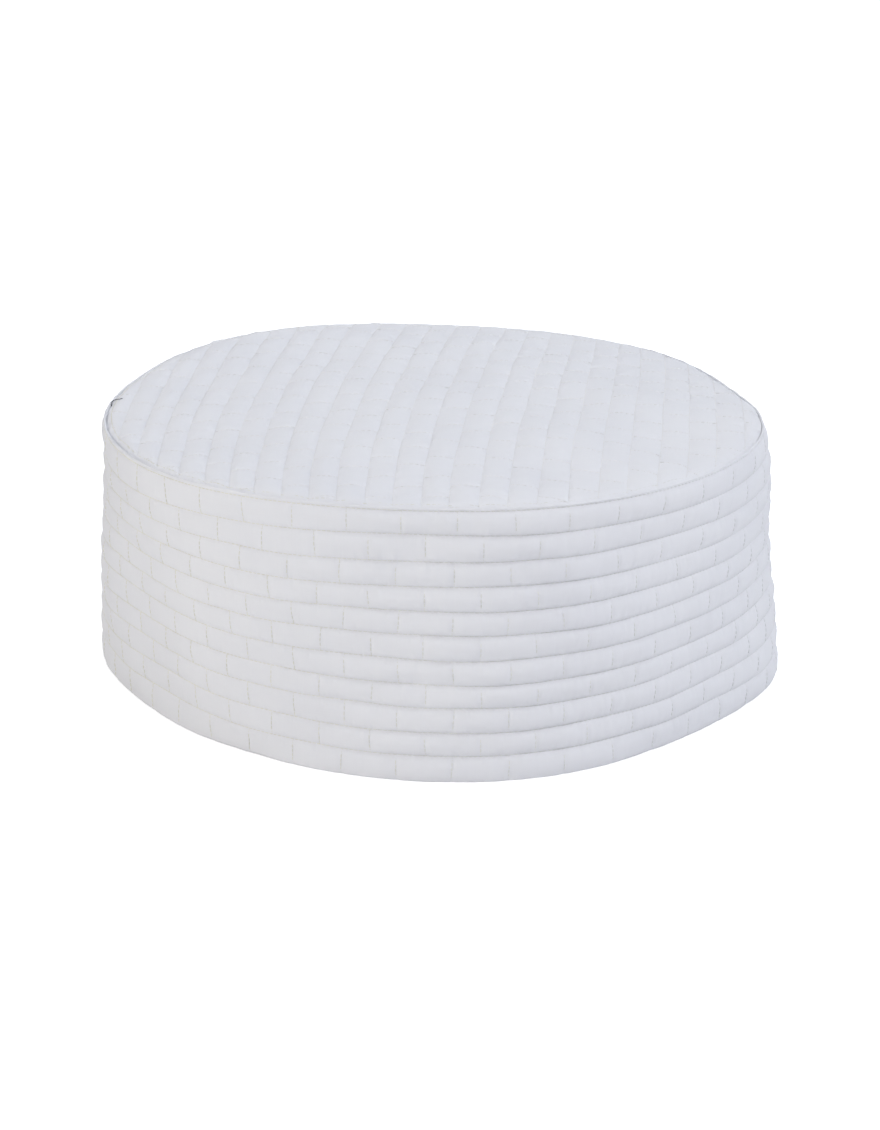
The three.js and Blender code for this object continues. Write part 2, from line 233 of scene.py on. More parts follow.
def band_out(s, q, detail=1.0, puff=PUFF):
    """How far the quilted face stands out from the base surface."""
    s, q = np.broadcast_arrays(np.asarray(s, float), np.asarray(q, float))
    j = np.clip(q.astype(int), 0, 10)
    w = np.clip(q - j, 0, 1)
    tall = (EDGES[j + 1] - EDGES[j]) * H0
    dt, db = w * tall, (1 - w) * tall
    last = j == 10
    ww = w ** 0.92
    f = (4 * ww * (1 - ww)).clip(0) ** 0.90
    f = np.where(last & (w > 0.5), 1 - 0.35 * ((w - 0.5) / 0.5) ** 2, f)
    t = near_tick(s, j, w)
    g = 1 - 0.15 * np.exp(-((t / 0.7) ** 2)) - 0.07 * np.exp(-((t / 2.6) ** 2))
    amp = puff * fullness(s) * (1 + 0.10 * puff_var(s, q * 6.7) + 0.05 * big(s, q * 6.7))
    u = amp * f * g
    db = np.where(last, 99.0, db)
    edge = np.minimum(dt, db)
    # small folds that run away from the rows of stitching, and from the ticks
    for k in range(12):
        m = (np.abs(q - k) < 0.75) & ~((k == 11) | (k == 0) & (q < 0))
        if not m.any():
            continue
        d = np.abs(q[m] - k) * 6.7
        sm = s[m]
        calm = np.interp(sm, [-120, -60, -20, 30, 70, 120], [0.55, 0.7, 1.0, 0.9, 0.45, 0.45])
        u_add = (0.075 * pull[k](sm, 0.0) * np.exp(-((d - 0.7) / 1.25) ** 2) + 0.065 * pull2[k](sm, 0.0) * np.exp(-((d - 1.2) / 1.8) ** 2)) * detail * calm
        u[m] += u_add * np.clip(d / 0.5, 0, 1)
    z = q * 6.7
    u += detail * 0.042 * small(s, z) * (0.35 + 0.65 * f)
    u += detail * 0.016 * fine(s, z)
    u += 0.11 * mid(s, z) * np.clip(f, 0, 1)
    # each row of stitching bites into the cloth
    bite = bite_of(s)
    u -= 0.30 * bite * np.exp(-((edge / 0.24) ** 2))
    # needle holes along the rows: the cloth dips at each one and swells between
    c = np.cos(TAU * (s - BACK) / PITCH)
    u += detail * (0.05 * -c * np.exp(-((edge - 0.8) / 0.7) ** 2) - 0.22 * bite * (0.5 + 0.5 * c) * np.exp(-((edge / 0.36) ** 2)))
    # the same along the ticks
    n = 5
    cw = np.cos(TAU * w * n)
    u += detail * -0.11 * (0.5 + 0.5 * cw) * np.exp(-((t / 0.42) ** 2)) * np.clip(edge / 0.8, 0, 1)
    # the band's two ends meet at the back
    b = np.abs((s - BACK + P / 2) % P - P / 2)
    u = u * (1 - 0.8 * np.exp(-((b / 1.1) ** 2))) - 0.35 * np.exp(-((b / 0.8) ** 2)) + 0.25 * np.exp(-(((b - 4.0) / 3.0) ** 2))
    return u


def overall(s, z):
    """Slow unevenness of the whole wall."""
    return 0.45 * big(s, z) * np.clip(z / 12, 0, 1) * np.clip((H0 - z) / 12, 0, 1)


def band_point(s, q, lift=0.0, inner=None, detail=1.0):
    h = height_of(s, q)
    x, y, z, nx, ny = wall.at(s, h)
    u = (band_out(s, q, detail) if inner is None else inner) + lift + overall(s, z)
    return np.stack([x + nx * u, y + ny * u, z], -1)


# --------------------------------------------------------------- mesh helpers
def make(name, co, faces, uv=None, smooth=True):
    """faces is a list of integer arrays, each (n, 3), (n, 4) or more columns."""
    me = bpy.data.meshes.new(name)
    co = np.asarray(co, np.float64).reshape(-1, 3) * MM
    faces = [np.asarray(f, np.int32) for f in faces if len(f)]
    loops = np.concatenate([f.ravel() for f in faces])
    sizes = np.concatenate([np.full(len(f), f.shape[1], np.int32) for f in faces])
    me.vertices.add(len(co))
    me.vertices.foreach_set("co", co.ravel().astype(np.float32))
    me.loops.add(len(loops))
    me.loops.foreach_set("vertex_index", loops)
    me.polygons.add(len(sizes))
    me.polygons.foreach_set("loop_start", np.r_[0, np.cumsum(sizes)[:-1]].astype(np.int32))
    me.polygons.foreach_set("loop_total", sizes)
    if smooth:
        me.polygons.foreach_set("use_smooth", np.ones(len(sizes), bool))
    if uv is not None:
        layer = me.uv_layers.new(name="cloth")
        layer.data.foreach_set("uv", np.asarray(uv, np.float32)[loops].ravel())
    me.update()
    me.validate()
    ob = bpy.data.objects.new(name, me)
    bpy.context.collection.objects.link(ob)
    return ob


def torus_faces(rows, cols):
    """Quads of a grid closed both ways: rows round the section, cols round the band."""
    r, c = np.meshgrid(np.arange(rows), np.arange(cols), indexing="ij")
    r2, c2 = (r + 1) % rows, (c + 1) % cols
    return np.stack([r * cols + c, r * cols + c2, r2 * cols + c2, r2 * cols + c], -1).reshape(-1, 4)


def stitches(p0, p1, normal, r=0.145, lift=0.10, dip=0.24, sides=5, jitter=0.0, seed=0):
    """Short runs of thread from hole p0 to hole p1, standing a little proud of the cloth and diving in at both ends."""
    p0, p1, n = (np.asarray(v, float).reshape(-1, 3) for v in (p0, p1, normal))
    m = len(p0)
    rg = np.random.default_rng(seed)
    t = p1 - p0
    ln = np.linalg.norm(t, axis=1, keepdims=True)
    t = t / ln
    n = n - (n * t).sum(1, keepdims=True) * t
    n /= np.linalg.norm(n, axis=1, keepdims=True)
    b = np.cross(t, n)
    off = rg.normal(0, 1, (m, 2)) * jitter
    rr = r * (1 + rg.normal(0, 0.05, (m, 1)))
    at = [0.03, 0.24, 0.76, 0.97]
    hs = [-dip, lift, lift, -dip]
    rad = [0.75, 1.0, 1.0, 0.75]
    ang = np.arange(sides) / sides * TAU + math.pi / 2
    rings = []
    for i, (a, hh, k) in enumerate(zip(at, hs, rad)):
        side = off[:, :1] * (1 - a) + off[:, 1:] * a
        c = p0 + (p1 - p0) * a + n * hh + b * side
        ring = c[:, None] + rr[:, None] * k * (np.cos(ang)[None, :, None] * b[:, None] + np.sin(ang)[None, :, None] * n[:, None])
        rings.append(ring)
    co = np.stack(rings, 1)  # m, 4, sides, 3
    base = (np.arange(m) * 4 * sides)[:, None]
    q = []
    for i in range(3):
        k = np.arange(sides)
        k2 = (k + 1) % sides
        q.append(np.stack([i * sides + k, i * sides + k2, (i + 1) * sides + k2, (i + 1) * sides + k], -1))
    q = np.concatenate(q)
    quads = (base[:, :, None] + q[None]).reshape(-1, 4)[:, ::-1]
    caps0 = base + np.arange(sides)[None, :]
    caps1 = (base + 3 * sides + np.arange(sides)[None, :])[:, ::-1]
    return co.reshape(-1, 3), quads, np.concatenate([caps0, caps1])


def thread_object(name, parts, mat):
    co, quads, caps, k = [], [], [], 0
    for c, q, p in parts:
        co.append(c), quads.append(q + k), caps.append(p + k)
        k += len(c)
    ob = make(name, np.concatenate(co), [np.concatenate(quads), np.concatenate(caps)])
    ob.data.materials.append(mat)
    return ob


# ----------------------------------------------------------------- materials
def nodes_of(mat):
    mat.use_nodes = True
    nt = mat.node_tree
    nt.nodes.clear()
    out = nt.nodes.new("ShaderNodeOutputMaterial")
    bsdf = nt.nodes.new("ShaderNodeBsdfPrincipled")
    nt.links.new(bsdf.outputs[0], out.inputs[0])
    return nt, bsdf


def math_node(nt, op, a, b=None):
    n = nt.nodes.new("ShaderNodeMath")
    n.operation = op
    for i, v in enumerate((a, b)):
        if v is None:
            continue
        if isinstance(v, (int, float)):
            n.inputs[i].default_value = v
        else:
            nt.links.new(v, n.inputs[i])
    return n.outputs[0]


def cotton(name, colour, yarn=0.30, weave=0.55, warm=0.0, rough=0.9):
    """Plain-weave cotton. The weave follows the cloth's own UV map, in millimetres."""
    mat = bpy.data.materials.new(name)
    nt, bsdf = nodes_of(mat)
    uv = nt.nodes.new("ShaderNodeUVMap")
    uv.uv_map = "cloth"
    sep = nt.nodes.new("ShaderNodeSeparateXYZ")
    nt.links.new(uv.outputs[0], sep.inputs[0])
    geo = nt.nodes.new("ShaderNodeTexCoord")
    # yarns wander a little, so the weave isn't ruled
    wob = nt.nodes.new("ShaderNodeTexNoise")
    wob.inputs["Scale"].default_value = 0.35
    wob.inputs["Detail"].default_value = 2
    nt.links.new(uv.outputs[0], wob.inputs["Vector"])
    wsep = nt.nodes.new("ShaderNodeSeparateColor")
    nt.links.new(wob.outputs["Color"], wsep.inputs[0])
    u = math_node(nt, "ADD", sep.outputs[0], math_node(nt, "MULTIPLY", wsep.outputs[0], 0.5))
    v = math_node(nt, "ADD", sep.outputs[1], math_node(nt, "MULTIPLY", wsep.outputs[1], 0.5))
    k = math.pi / yarn
    su, sv = math_node(nt, "SINE", math_node(nt, "MULTIPLY", u, k)), math_node(nt, "SINE", math_node(nt, "MULTIPLY", v, k))
    au, av = math_node(nt, "ABSOLUTE", su), math_node(nt, "ABSOLUTE", sv)
    over = math_node(nt, "GREATER_THAN", math_node(nt, "MULTIPLY", su, sv), 0.0)
    # where one yarn is over, its own round back shows, high in the middle of its float
    a = math_node(nt, "MULTIPLY", av, math_node(nt, "POWER", au, 0.6))
    b = math_node(nt, "MULTIPLY", au, math_node(nt, "POWER", av, 0.6))
    mix = nt.nodes.new("ShaderNodeMix")
    mix.data_type = "FLOAT"
    nt.links.new(over, mix.inputs[0])
    nt.links.new(a, mix.inputs[2])
    nt.links.new(b, mix.inputs[3])
    yarns = mix.outputs[0]
    # thick and thin yarns: noise drawn out along each direction
    slubs = []
    for sx, sy in ((0.05, 2.2), (2.2, 0.05)):
        mp = nt.nodes.new("ShaderNodeMapping")
        mp.inputs["Scale"].default_value = (sx, sy, 1)
        nt.links.new(uv.outputs[0], mp.inputs[0])
        nz = nt.nodes.new("ShaderNodeTexNoise")
        nz.inputs["Scale"].default_value = 1.0
        nz.inputs["Detail"].default_value = 3
        nt.links.new(mp.outputs[0], nz.inputs["Vector"])
        slubs.append(nz.outputs[0])
    slub = math_node(nt, "ADD", slubs[0], slubs[1])
    fuzz = nt.nodes.new("ShaderNodeTexNoise")
    fuzz.inputs["Scale"].default_value = 900
    fuzz.inputs["Detail"].default_value = 3
    nt.links.new(geo.outputs["Object"], fuzz.inputs["Vector"])
    height = math_node(nt, "ADD", math_node(nt, "MULTIPLY", yarns, 0.6), math_node(nt, "ADD", math_node(nt, "MULTIPLY", slub, 0.35), math_node(nt, "MULTIPLY", fuzz.outputs[0], 0.35)))
    bump = nt.nodes.new("ShaderNodeBump")
    bump.inputs["Strength"].default_value = weave
    bump.inputs["Distance"].default_value = 0.00007
    nt.links.new(height, bump.inputs["Height"])
    nt.links.new(bump.outputs[0], bsdf.inputs["Normal"])
    # colour: near-white, a touch darker between yarns, which is painted shade in the weave's hollows, and in slow
    # random patches
    patch = nt.nodes.new("ShaderNodeTexNoise")
    patch.inputs["Scale"].default_value = 26
    patch.inputs["Detail"].default_value = 4
    nt.links.new(geo.outputs["Object"], patch.inputs["Vector"])
    # the yarns term lightens the yarns' backs and darkens the colour between them: painted shade of the weave
    tone = math_node(nt, "ADD", math_node(nt, "MULTIPLY", yarns, 0.10), math_node(nt, "ADD", math_node(nt, "MULTIPLY", patch.outputs[0], 0.75), math_node(nt, "MULTIPLY", slub, 0.16)))
    ramp = nt.nodes.new("ShaderNodeValToRGB")
    c = np.array(colour)
    ramp.color_ramp.elements[0].position = 0.30
    ramp.color_ramp.elements[0].color = (*(c * np.array([0.955, 0.955, 0.965])), 1)
    ramp.color_ramp.elements[1].position = 0.85
    ramp.color_ramp.elements[1].color = (*np.minimum(1, c * np.array([1.02, 1.018, 1.012])), 1)
    nt.links.new(tone, ramp.inputs[0])
    nt.links.new(ramp.outputs[0], bsdf.inputs["Base Color"])
    rr = math_node(nt, "SUBTRACT", rough + 0.06, math_node(nt, "MULTIPLY", yarns, 0.12))
    nt.links.new(rr, bsdf.inputs["Roughness"])
    bsdf.inputs["Sheen Weight"].default_value = 0.12
    bsdf.inputs["Sheen Roughness"].default_value = 0.5
    bsdf.inputs["Specular IOR Level"].default_value = 0.25
    return mat


def thread_material(name, colour, rough=0.62, right=None):
    mat = bpy.data.materials.new(name)
    nt, bsdf = nodes_of(mat)
    geo = nt.nodes.new("ShaderNodeTexCoord")
    nz = nt.nodes.new("ShaderNodeTexNoise")
    nz.inputs["Scale"].default_value = 2600
    nz.inputs["Detail"].default_value = 2
    nt.links.new(geo.outputs["Object"], nz.inputs["Vector"])
    tone = nt.nodes.new("ShaderNodeTexNoise")
    tone.inputs["Scale"].default_value = 60
    nt.links.new(geo.outputs["Object"], tone.inputs["Vector"])
    mixed = math_node(nt, "ADD", math_node(nt, "MULTIPLY", nz.outputs[0], 0.5), math_node(nt, "MULTIPLY", tone.outputs[0], 0.5))
    ramp = nt.nodes.new("ShaderNodeValToRGB")
    c = np.array(colour)
    ramp.color_ramp.elements[0].position = 0.32
    ramp.color_ramp.elements[0].color = (*(c * 0.93), 1)
    ramp.color_ramp.elements[1].position = 0.68
    ramp.color_ramp.elements[1].color = (*np.minimum(1, c * 1.06), 1)
    nt.links.new(mixed, ramp.inputs[0])
    if right is None:
        nt.links.new(ramp.outputs[0], bsdf.inputs["Base Color"])
    else:
        # the thread is yellower towards the left of the cap, greyer towards the right
        sx = nt.nodes.new("ShaderNodeSeparateXYZ")
        nt.links.new(geo.outputs["Object"], sx.inputs[0])
        side = math_node(nt, "MULTIPLY", math_node(nt, "ADD", sx.outputs[0], 0.07), 6.5)
        side.node.use_clamp = True
        tint = nt.nodes.new("ShaderNodeMix")
        tint.data_type = "RGBA"
        tint.blend_type = "MULTIPLY"
        tint.inputs[7].default_value = (*(np.array(right) / c), 1)
        nt.links.new(side, tint.inputs[0])
        nt.links.new(ramp.outputs[0], tint.inputs[6])
        nt.links.new(tint.outputs[2], bsdf.inputs["Base Color"])
    bump = nt.nodes.new("ShaderNodeBump")
    bump.inputs["Strength"].default_value = 0.5
    bump.inputs["Distance"].default_value = 0.00004
    nt.links.new(nz.outputs[0], bump.inputs["Height"])
    nt.links.new(bump.outputs[0], bsdf.inputs["Normal"])
    bsdf.inputs["Roughness"].default_value = rough
    bsdf.inputs["Specular IOR Level"].default_value = 0.35
    bsdf.inputs["Sheen Weight"].default_value = 0.1
    return mat


M_OUT = cotton("outer_cotton", (0.800, 0.803, 0.820))
M_IN = cotton("lining_cotton", (0.780, 0.780, 0.785))
M_TAPE = cotton("tape_cotton", (0.790, 0.785, 0.765), yarn=0.26)
# the band's thread is set darker than the cloth: partly the cream thread's own colour, partly painted shade of the
# needle holes it dives into
M_THREAD = thread_material("cream_thread_and_hole_shade", (0.740, 0.725, 0.630), right=(0.745, 0.750, 0.742))
M_THREAD_CROWN = thread_material("crown_thread", (0.800, 0.790, 0.785))
M_DARK = thread_material("dark_thread", (0.022, 0.023, 0.035))
M_PAD = bpy.data.materials.new("wadding")
_nt, _b = nodes_of(M_PAD)
_n = _nt.nodes.new("ShaderNodeTexNoise")
_n.inputs["Scale"].default_value = 700
_n.inputs["Detail"].default_value = 6
_tc = _nt.nodes.new("ShaderNodeTexCoord")
_nt.links.new(_tc.outputs["Object"], _n.inputs["Vector"])
_r = _nt.nodes.new("ShaderNodeValToRGB")
_r.color_ramp.elements[0].color = (0.78, 0.78, 0.77, 1)
_r.color_ramp.elements[1].color = (0.93, 0.93, 0.92, 1)
_nt.links.new(_n.outputs[0], _r.inputs[0])
_nt.links.new(_r.outputs[0], _b.inputs["Base Color"])
_bp = _nt.nodes.new("ShaderNodeBump")
_bp.inputs["Distance"].default_value = 0.0002
_nt.links.new(_n.outputs[0], _bp.inputs["Height"])
_nt.links.new(_bp.outputs[0], _b.inputs["Normal"])
_b.inputs["Roughness"].default_value = 1.0


# ---------------------------------------------------------------- outer band
COLS = STITCHES * 3
S = BACK + np.arange(COLS) * (P / COLS)
STATIONS = [0.0, 0.03, 0.075, 0.17, 0.36, 0.60, 0.82, 0.925, 0.97]

rows, uvs = [], []


def add_row(points, v):
    rows.append(points)
    uvs.append(np.c_[S, np.full(COLS, v)])


def section_row(h, u, dz):
    """A row at height share h, moved out by u and up by dz, on the wall's slow unevenness."""
    x, y, z, nx, ny = wall.at(S, h)
    uu = u + overall(S, z)
    return np.stack([x + nx * uu, y + ny * uu, z + dz + 0 * x], -1)


_rx, _ry, _, _, _ = wall.at(S, np.zeros(COLS))
rim_turn = np.degrees(np.arctan2(_ry, _rx)) % 360
rim_low = np.interp(rim_turn, [0, 50, 120, 165, 190, 240, 300, 340, 360], [0.50, 0.42, 0.42, 0.60, 0.78, 0.90, 0.88, 0.70, 0.50])
rim_wave = rim_low + 0.08 * field(31, 40, 50, 10)(S, 0) + 0.05 * field(32, 9, 50, 10)(S, 0)
rim_pull = 0.05 * field(33, 3.2, 50, 20)(S, 0)
holes = 0.5 + 0.5 * np.cos(TAU * (S - BACK) / PITCH)
# inner face first (hidden), from the tucked top down to the hem
for h in (0.02, 0.2, 0.4, 0.6, 0.8, 0.97):
    add_row(section_row(h, -0.42, 0.0), -80)
add_row(section_row(1.0, -0.9, 0.55), -82)
add_row(section_row(1.0, -3.2, 0.55), -84)
# the flat turned edge, then its fold
hem = 0.65 * PUFF
edge_u = band_out(S, np.full(COLS, 10.999))
add_row(section_row(1.0, -3.45, 0.30), -85)
add_row(section_row(1.0, -3.2, 0.03), -86)
add_row(section_row(1.0, -1.6, 0.0), -87)
fold = np.interp((S + P / 2) % P - P / 2, [-150, -118, -100, -84, -74, -66, -52, -44, -30, 30, 44, 60, 110, 150], [0.8, 1.3, 1.35, 0.9, 0.8, 1.3, 1.3, 0.6, 0.4, 0.4, 0.8, 1.3, 1.35, 0.8])
add_row(section_row(1.0, edge_u - 1.05 * fold, 0.0), -88)
for a in (25, 50, 75):
    t = math.radians(a)
    add_row(section_row(1.0, edge_u - fold + fold * math.sin(t), fold - fold * math.cos(t)), -89 + a / 90)
# the eleven channels, upwards
EDGE_LIFT = 1.0  # the fold's height
for j in range(10, -1, -1):
    for w in ([1.0] if j == 10 else []) + STATIONS[:0:-1] + [0.0]:
        q = np.full(COLS, j + w if not (j == 10 and w == 1.0) else 10.9999)
        pts = band_point(S, q)
        # the lowest channel ends on the fold, not on the ground
        k = np.clip((q - 10) / 1.0, 0, 1)
        pts[:, 2] += fold * k ** 2
        add_row(pts, -(EDGES[j] * (1 - w) + EDGES[j + 1] * w) * H0)
# the folded rim above the crown seam: out, up, over and down inside
RIM = [(0.13, 0.30), (0.17, 0.60), (0.12, 0.86), (-0.02, 1.04), (-0.24, 1.12), (-0.46, 1.06), (-0.62, 0.86), (-0.70, 0.5), (-0.76, 0.0), (-0.82, -0.7), (-0.85, -1.5)]
for i, (u, dz) in enumerate(RIM):
    k = rim_wave
    near = math.exp(-((dz - 0.3) / 0.5) ** 2) if i < 3 else 0
    add_row(section_row(0.0, u * (k if u > 0 else 0.35 * k + 0.65) + rim_pull * (1.2 if i < 4 else 0.6) - near * 0.05 * holes, dz * k), 0.4 + i * 0.35)
add_row(section_row(0.0, -0.62, -1.55), 5)
band_co = np.concatenate(rows)
band = make("band_shell_cloth", band_co, [torus_faces(len(rows), COLS)], np.concatenate(uvs))
band.data.materials.append(M_OUT)

# ------------------------------------------------------------- outer stitches
def row_stitches(q, seed, r=0.135, lift=0.26, dip=0.16):
    i = np.arange(STITCHES)
    s0, s1 = BACK + i * PITCH, BACK + (i + 1) * PITCH
    a = band_point(s0, np.full(STITCHES, float(q)))
    b = band_point(s1, np.full(STITCHES, float(q)))
    h = height_of((s0 + s1) / 2, np.full(STITCHES, float(q)))
    _, _, _, nx, ny = wall.at((s0 + s1) / 2, h)
    n = np.stack([nx, ny, 0 * nx], -1)
    return stitches(a, b, n, r=r, lift=0.01 + lift * bite_of((s0 + s1) / 2)[:, None], dip=dip, jitter=0.04, seed=seed)


def tick_stitches(j, seed, r=0.125, n=5):
    t, tilt = TICKS[j], TILT[j]
    w = np.linspace(0.0, 1.0, n + 1)
    if j == 10:
        w = np.linspace(0.0, 0.96, n + 1)
    w0, w1 = np.meshgrid(w[:-1], t)[0], np.meshgrid(w[1:], t)[0]
    s0 = t[:, None] + tilt[:, None] * (w0 - 0.5)
    s1 = t[:, None] + tilt[:, None] * (w1 - 0.5)
    q0, q1 = j + np.minimum(w0, 0.9999), j + np.minimum(w1, 0.9999)
    pts = []
    for s, q in ((s0, q0), (s1, q1)):
        p = band_point(s.ravel(), q.ravel())
        p[:, 2] += EDGE_LIFT * np.clip(q.ravel() - 10, 0, 1) ** 2
        pts.append(p)
    sm, qm = (s0 + s1).ravel() / 2, (q0 + q1).ravel() / 2
    e = 0.02
    up, dn = band_point(sm, np.maximum(qm - e, j), detail=0.0), band_point(sm, np.minimum(qm + e, j + 0.9999), detail=0.0)
    _, _, _, nx, ny = wall.at(sm, height_of(sm, qm))
    n3 = np.stack([nx, ny, 0 * nx], -1)
    tt = up - dn
    tt /= np.linalg.norm(tt, axis=1, keepdims=True)
    n3 = n3 - (n3 * tt).sum(1, keepdims=True) * tt
    return stitches(pts[0], pts[1], n3, r=r, lift=0.09, dip=0.14, jitter=0.035, seed=seed)


needle = []
for k in range(1, 11):
    parts = [row_stitches(k, 300 + k), tick_stitches(k - 1, 320 + k)]
    if k == 10:
        parts.append(tick_stitches(10, 340))
    ob = thread_object(f"band_needle_thread_{k:02d}_stitches", parts, M_THREAD)
    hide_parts(f"band_needle_thread_{k:02d}")
    needle.append(ob)

# ---------------------------------------------------------------------- crown
LEAN, BEND = 0.09, 0.05
ROT = math.radians(5)
LINES = np.array([-1.07, -0.993, -0.9174, -0.8463, -0.7808, -0.7096, -0.6312, -0.5560, -0.4775, -0.3967, -0.3142, -0.2325, -0.1484, -0.0675, 0.0142, 0.0958, 0.1807,
                  0.2624, 0.3465, 0.4290, 0.5115, 0.5907, 0.6748, 0.7533, 0.8325, 0.9155, 0.996, 1.075]) * R0
NL = len(LINES) - 1
CB = 0.160 * R0
DOME = 3.0
CROWN_IN = 0.84  # the crown's visible edge, in from the outline


# the rows' remaining curves, in mm, over c / 90 and y / 90
CURVES = [(0.239, 0, 0), (0.202, 1, 0), (1.569, 0, 1), (-1.124, 1, 1), (-1.95, 0, 2), (-1.239, 2, 0), (-5.294, 2, 1), (-5.087, 1, 2), (-0.894, 0, 3), (-0.112, 3, 0)]


def row_curve(c, y):
    cx, cy = np.clip(c / 90, -1, 1), np.clip(y / 90, -1, 1)
    return LEAN * y + BEND * y * y / R0 + sum(k * cx**a * cy**b for k, a, b in CURVES)


def cap_xy(c, y):
    """From the rows' own coordinates (across, along) to the cap's."""
    x = c + row_curve(c, y)
    return x * math.cos(ROT) - y * math.sin(ROT) + TOPC[0] * 0 + SHIFT[0], x * math.sin(ROT) + y * math.cos(ROT) + SHIFT[1]


def rows_of(x, y):
    """The cap's place to the rows' own: which row, and how far along."""
    X, Y = x - SHIFT[0], y - SHIFT[1]
    xc, yc = X * math.cos(ROT) + Y * math.sin(ROT), -X * math.sin(ROT) + Y * math.cos(ROT)
    c = xc - row_curve(xc, yc)
    for _ in range(6):
        c = xc - row_curve(c, yc)
    return np.interp(c, LINES, np.arange(NL + 1)), yc


def edge_gap(x, y):
    """How far a point is inside the crown seam's outline, and its polar place."""
    px, py = x - SHIFT[0] - TOPC[0], y - SHIFT[1] - TOPC[1]
    a = np.arctan2(py, px)
    r = np.hypot(px, py)
    R = top_r(a)
    dR = (top_r(a + 0.01) - top_r(a - 0.01)) / 0.02
    return (R - r) * R / np.hypot(R, dR), a, r / R


c_wave = [field(400 + i, 60, 900, 8) for i in range(NL + 1)]
c_big = field(41, 75, 60, 18)
c_mid = field(42, 19, 16, 30)
c_small = field(43, 5.5, 4.0, 36)
c_fine = field(44, 2.2, 2.2, 40)
c_pull = [field(450 + i, 3.3, 900, 22) for i in range(NL + 1)]
c_pull2 = [field(480 + i, 8.0, 900, 16) for i in range(NL + 1)]
c_puff = field(45, 24, 9, 20)


def c_of(q, y):
    i = np.clip(np.asarray(q).astype(int), 0, NL - 1)
    w = q - i
    c = LINES[i] * (1 - w) + LINES[i + 1] * w
    out = 0.0
    q, y = np.broadcast_arrays(q, y)
    add = np.zeros(q.shape)
    for k in range(NL + 1):
        m = np.abs(q - k) < 1
        if m.any():
            add[m] += (1 - np.abs(q[m] - k)) * c_wave[k](y[m], 0.0) * 0.09
    return c + add


C_RNG = np.random.default_rng(12)
C_JIT = C_RNG.normal(0, 0.35, (NL, 40))
C_TILT = C_RNG.normal(0.0, 0.35, (NL, 40))


def crown_tick(i, w, y):
    """Signed distance along a row to its nearest tick, in column i."""
    phase = np.where(i % 2 == 1, 0.18, 0.74) * -CB
    # the cloth is skewed a little towards the right front
    skew = 1.6 * np.clip((i - 13) / 8.0, 0, 1) * np.clip(-y / 60, 0, 1)
    yy = y - phase + skew * (w - 0.5) * 2
    k = np.round(yy / CB).astype(int)
    kk = np.clip(k + 20, 0, 39)
    return yy - k * CB - C_JIT[i, kk] - C_TILT[i, kk] * (w - 0.5)


C_PUFF = 0.80


def crown_z(q, y, detail=1.0, puff=C_PUFF):
    q, y = np.broadcast_arrays(np.asarray(q, float), np.asarray(y, float))
    i = np.clip(q.astype(int), 0, NL - 1)
    w = np.clip(q - i, 0, 1)
    c = c_of(q, y)
    x3, y3 = cap_xy(c, y)
    gap, a, t = edge_gap(x3, y3)
    gap = gap - CROWN_IN
    t = np.clip(t, 0, 1.02)
    z = H0 + DOME * (1 - t * t) + (seam_z(a) - H0) * t * t
    wide = (LINES[i + 1] - LINES[i])
    dl, dr = w * wide, (1 - w) * wide
    edge = np.minimum(dl, dr)
    f = (4 * w * (1 - w)).clip(0)
    tk = crown_tick(i, w, y)
    g = 1 - 0.16 * np.exp(-((tk / 0.7) ** 2)) - 0.08 * np.exp(-((tk / 2.8) ** 2))
    flat = 1 - np.exp(-np.clip(gap, 0, None) / (1.3 + 6.0 * np.clip(np.sin(a) - 0.1, 0, 1)))
    side = np.interp(c, [-90, -30, 20, 50, 90], [1.12, 1.06, 0.92, 0.60, 0.42])
    z = z + (puff * side * (1 + 0.14 * c_puff(y, c)) * f * g) * flat
    for k in range(NL + 1):
        m = np.abs(q - k) < 0.7
        if not m.any():
            continue
        d = np.abs(q[m] - k) * 7.6
        z[m] += detail * (0.055 * c_pull[k](y[m], 0.0) * np.exp(-((d - 0.8) / 1.4) ** 2) + 0.05 * c_pull2[k](y[m], 0.0) * np.exp(-((d - 1.4) / 2.0) ** 2)) * np.clip(d / 0.5, 0, 1)
    z = z + 0.35 * c_big(y, c) * np.clip(gap / 15, 0, 1)
    # the padding holds the crown up against its rim, most at the back and on the right
    turn = np.degrees((a + TAU) % TAU)
    stand = np.interp(turn, [0, 60, 150, 172, 190, 235, 262, 300, 345, 360], [1.10, 1.05, 1.00, 1.00, 1.00, 0.90, 0.90, 1.00, 1.10, 1.10])
    z = z + stand * (1 - np.exp(-np.clip(gap, 0, None) / np.interp(turn, [0, 160, 180, 245, 280, 360], [0.9, 0.9, 0.40, 0.40, 0.9, 0.9])))
    z = z + detail * (0.10 * c_mid(y, c) + 0.040 * c_small(y, c) + 0.014 * c_fine(y, c)) * flat
    cy = np.cos(TAU * y / PITCH)
    z = z + detail * (0.045 * -cy * np.exp(-((edge - 0.8) / 0.7) ** 2) - 0.06 * (0.5 + 0.5 * cy) * np.exp(-((edge / 0.5) ** 2))) * flat
    cw = np.cos(TAU * w * 5)
    z = z - detail * 0.09 * (0.5 + 0.5 * cw) * np.exp(-((tk / 0.42) ** 2)) * np.clip(edge / 0.8, 0, 1) * flat
    # the crown is drawn down into its seam, and by the line of stitching inside it
    ang = a * R0
    pull_in = 0.36 + 0.12 * field(46, 11, 50, 12)(ang, 0.0) + 0.10 * field(47, 4, 50, 16)(ang, 0.0)
    pull_in = pull_in * np.interp(turn, [0, 60, 150, 172, 190, 240, 262, 300, 345, 360], [-1.0, -1.1, -1.3, -0.8, 0.9, 1.3, 1.1, 0.5, -0.6, -1.1])
    z = z - pull_in * np.exp(-np.clip(gap, 0, None) / 0.35)
    st = (gap - SEAM_STITCH) / 0.45
    z = z - 0.22 * np.exp(-st * st) * (0.75 + 0.25 * np.cos(TAU * ang / 1.42))
    return x3, y3, z, gap


SEAM_STITCH = 1.35


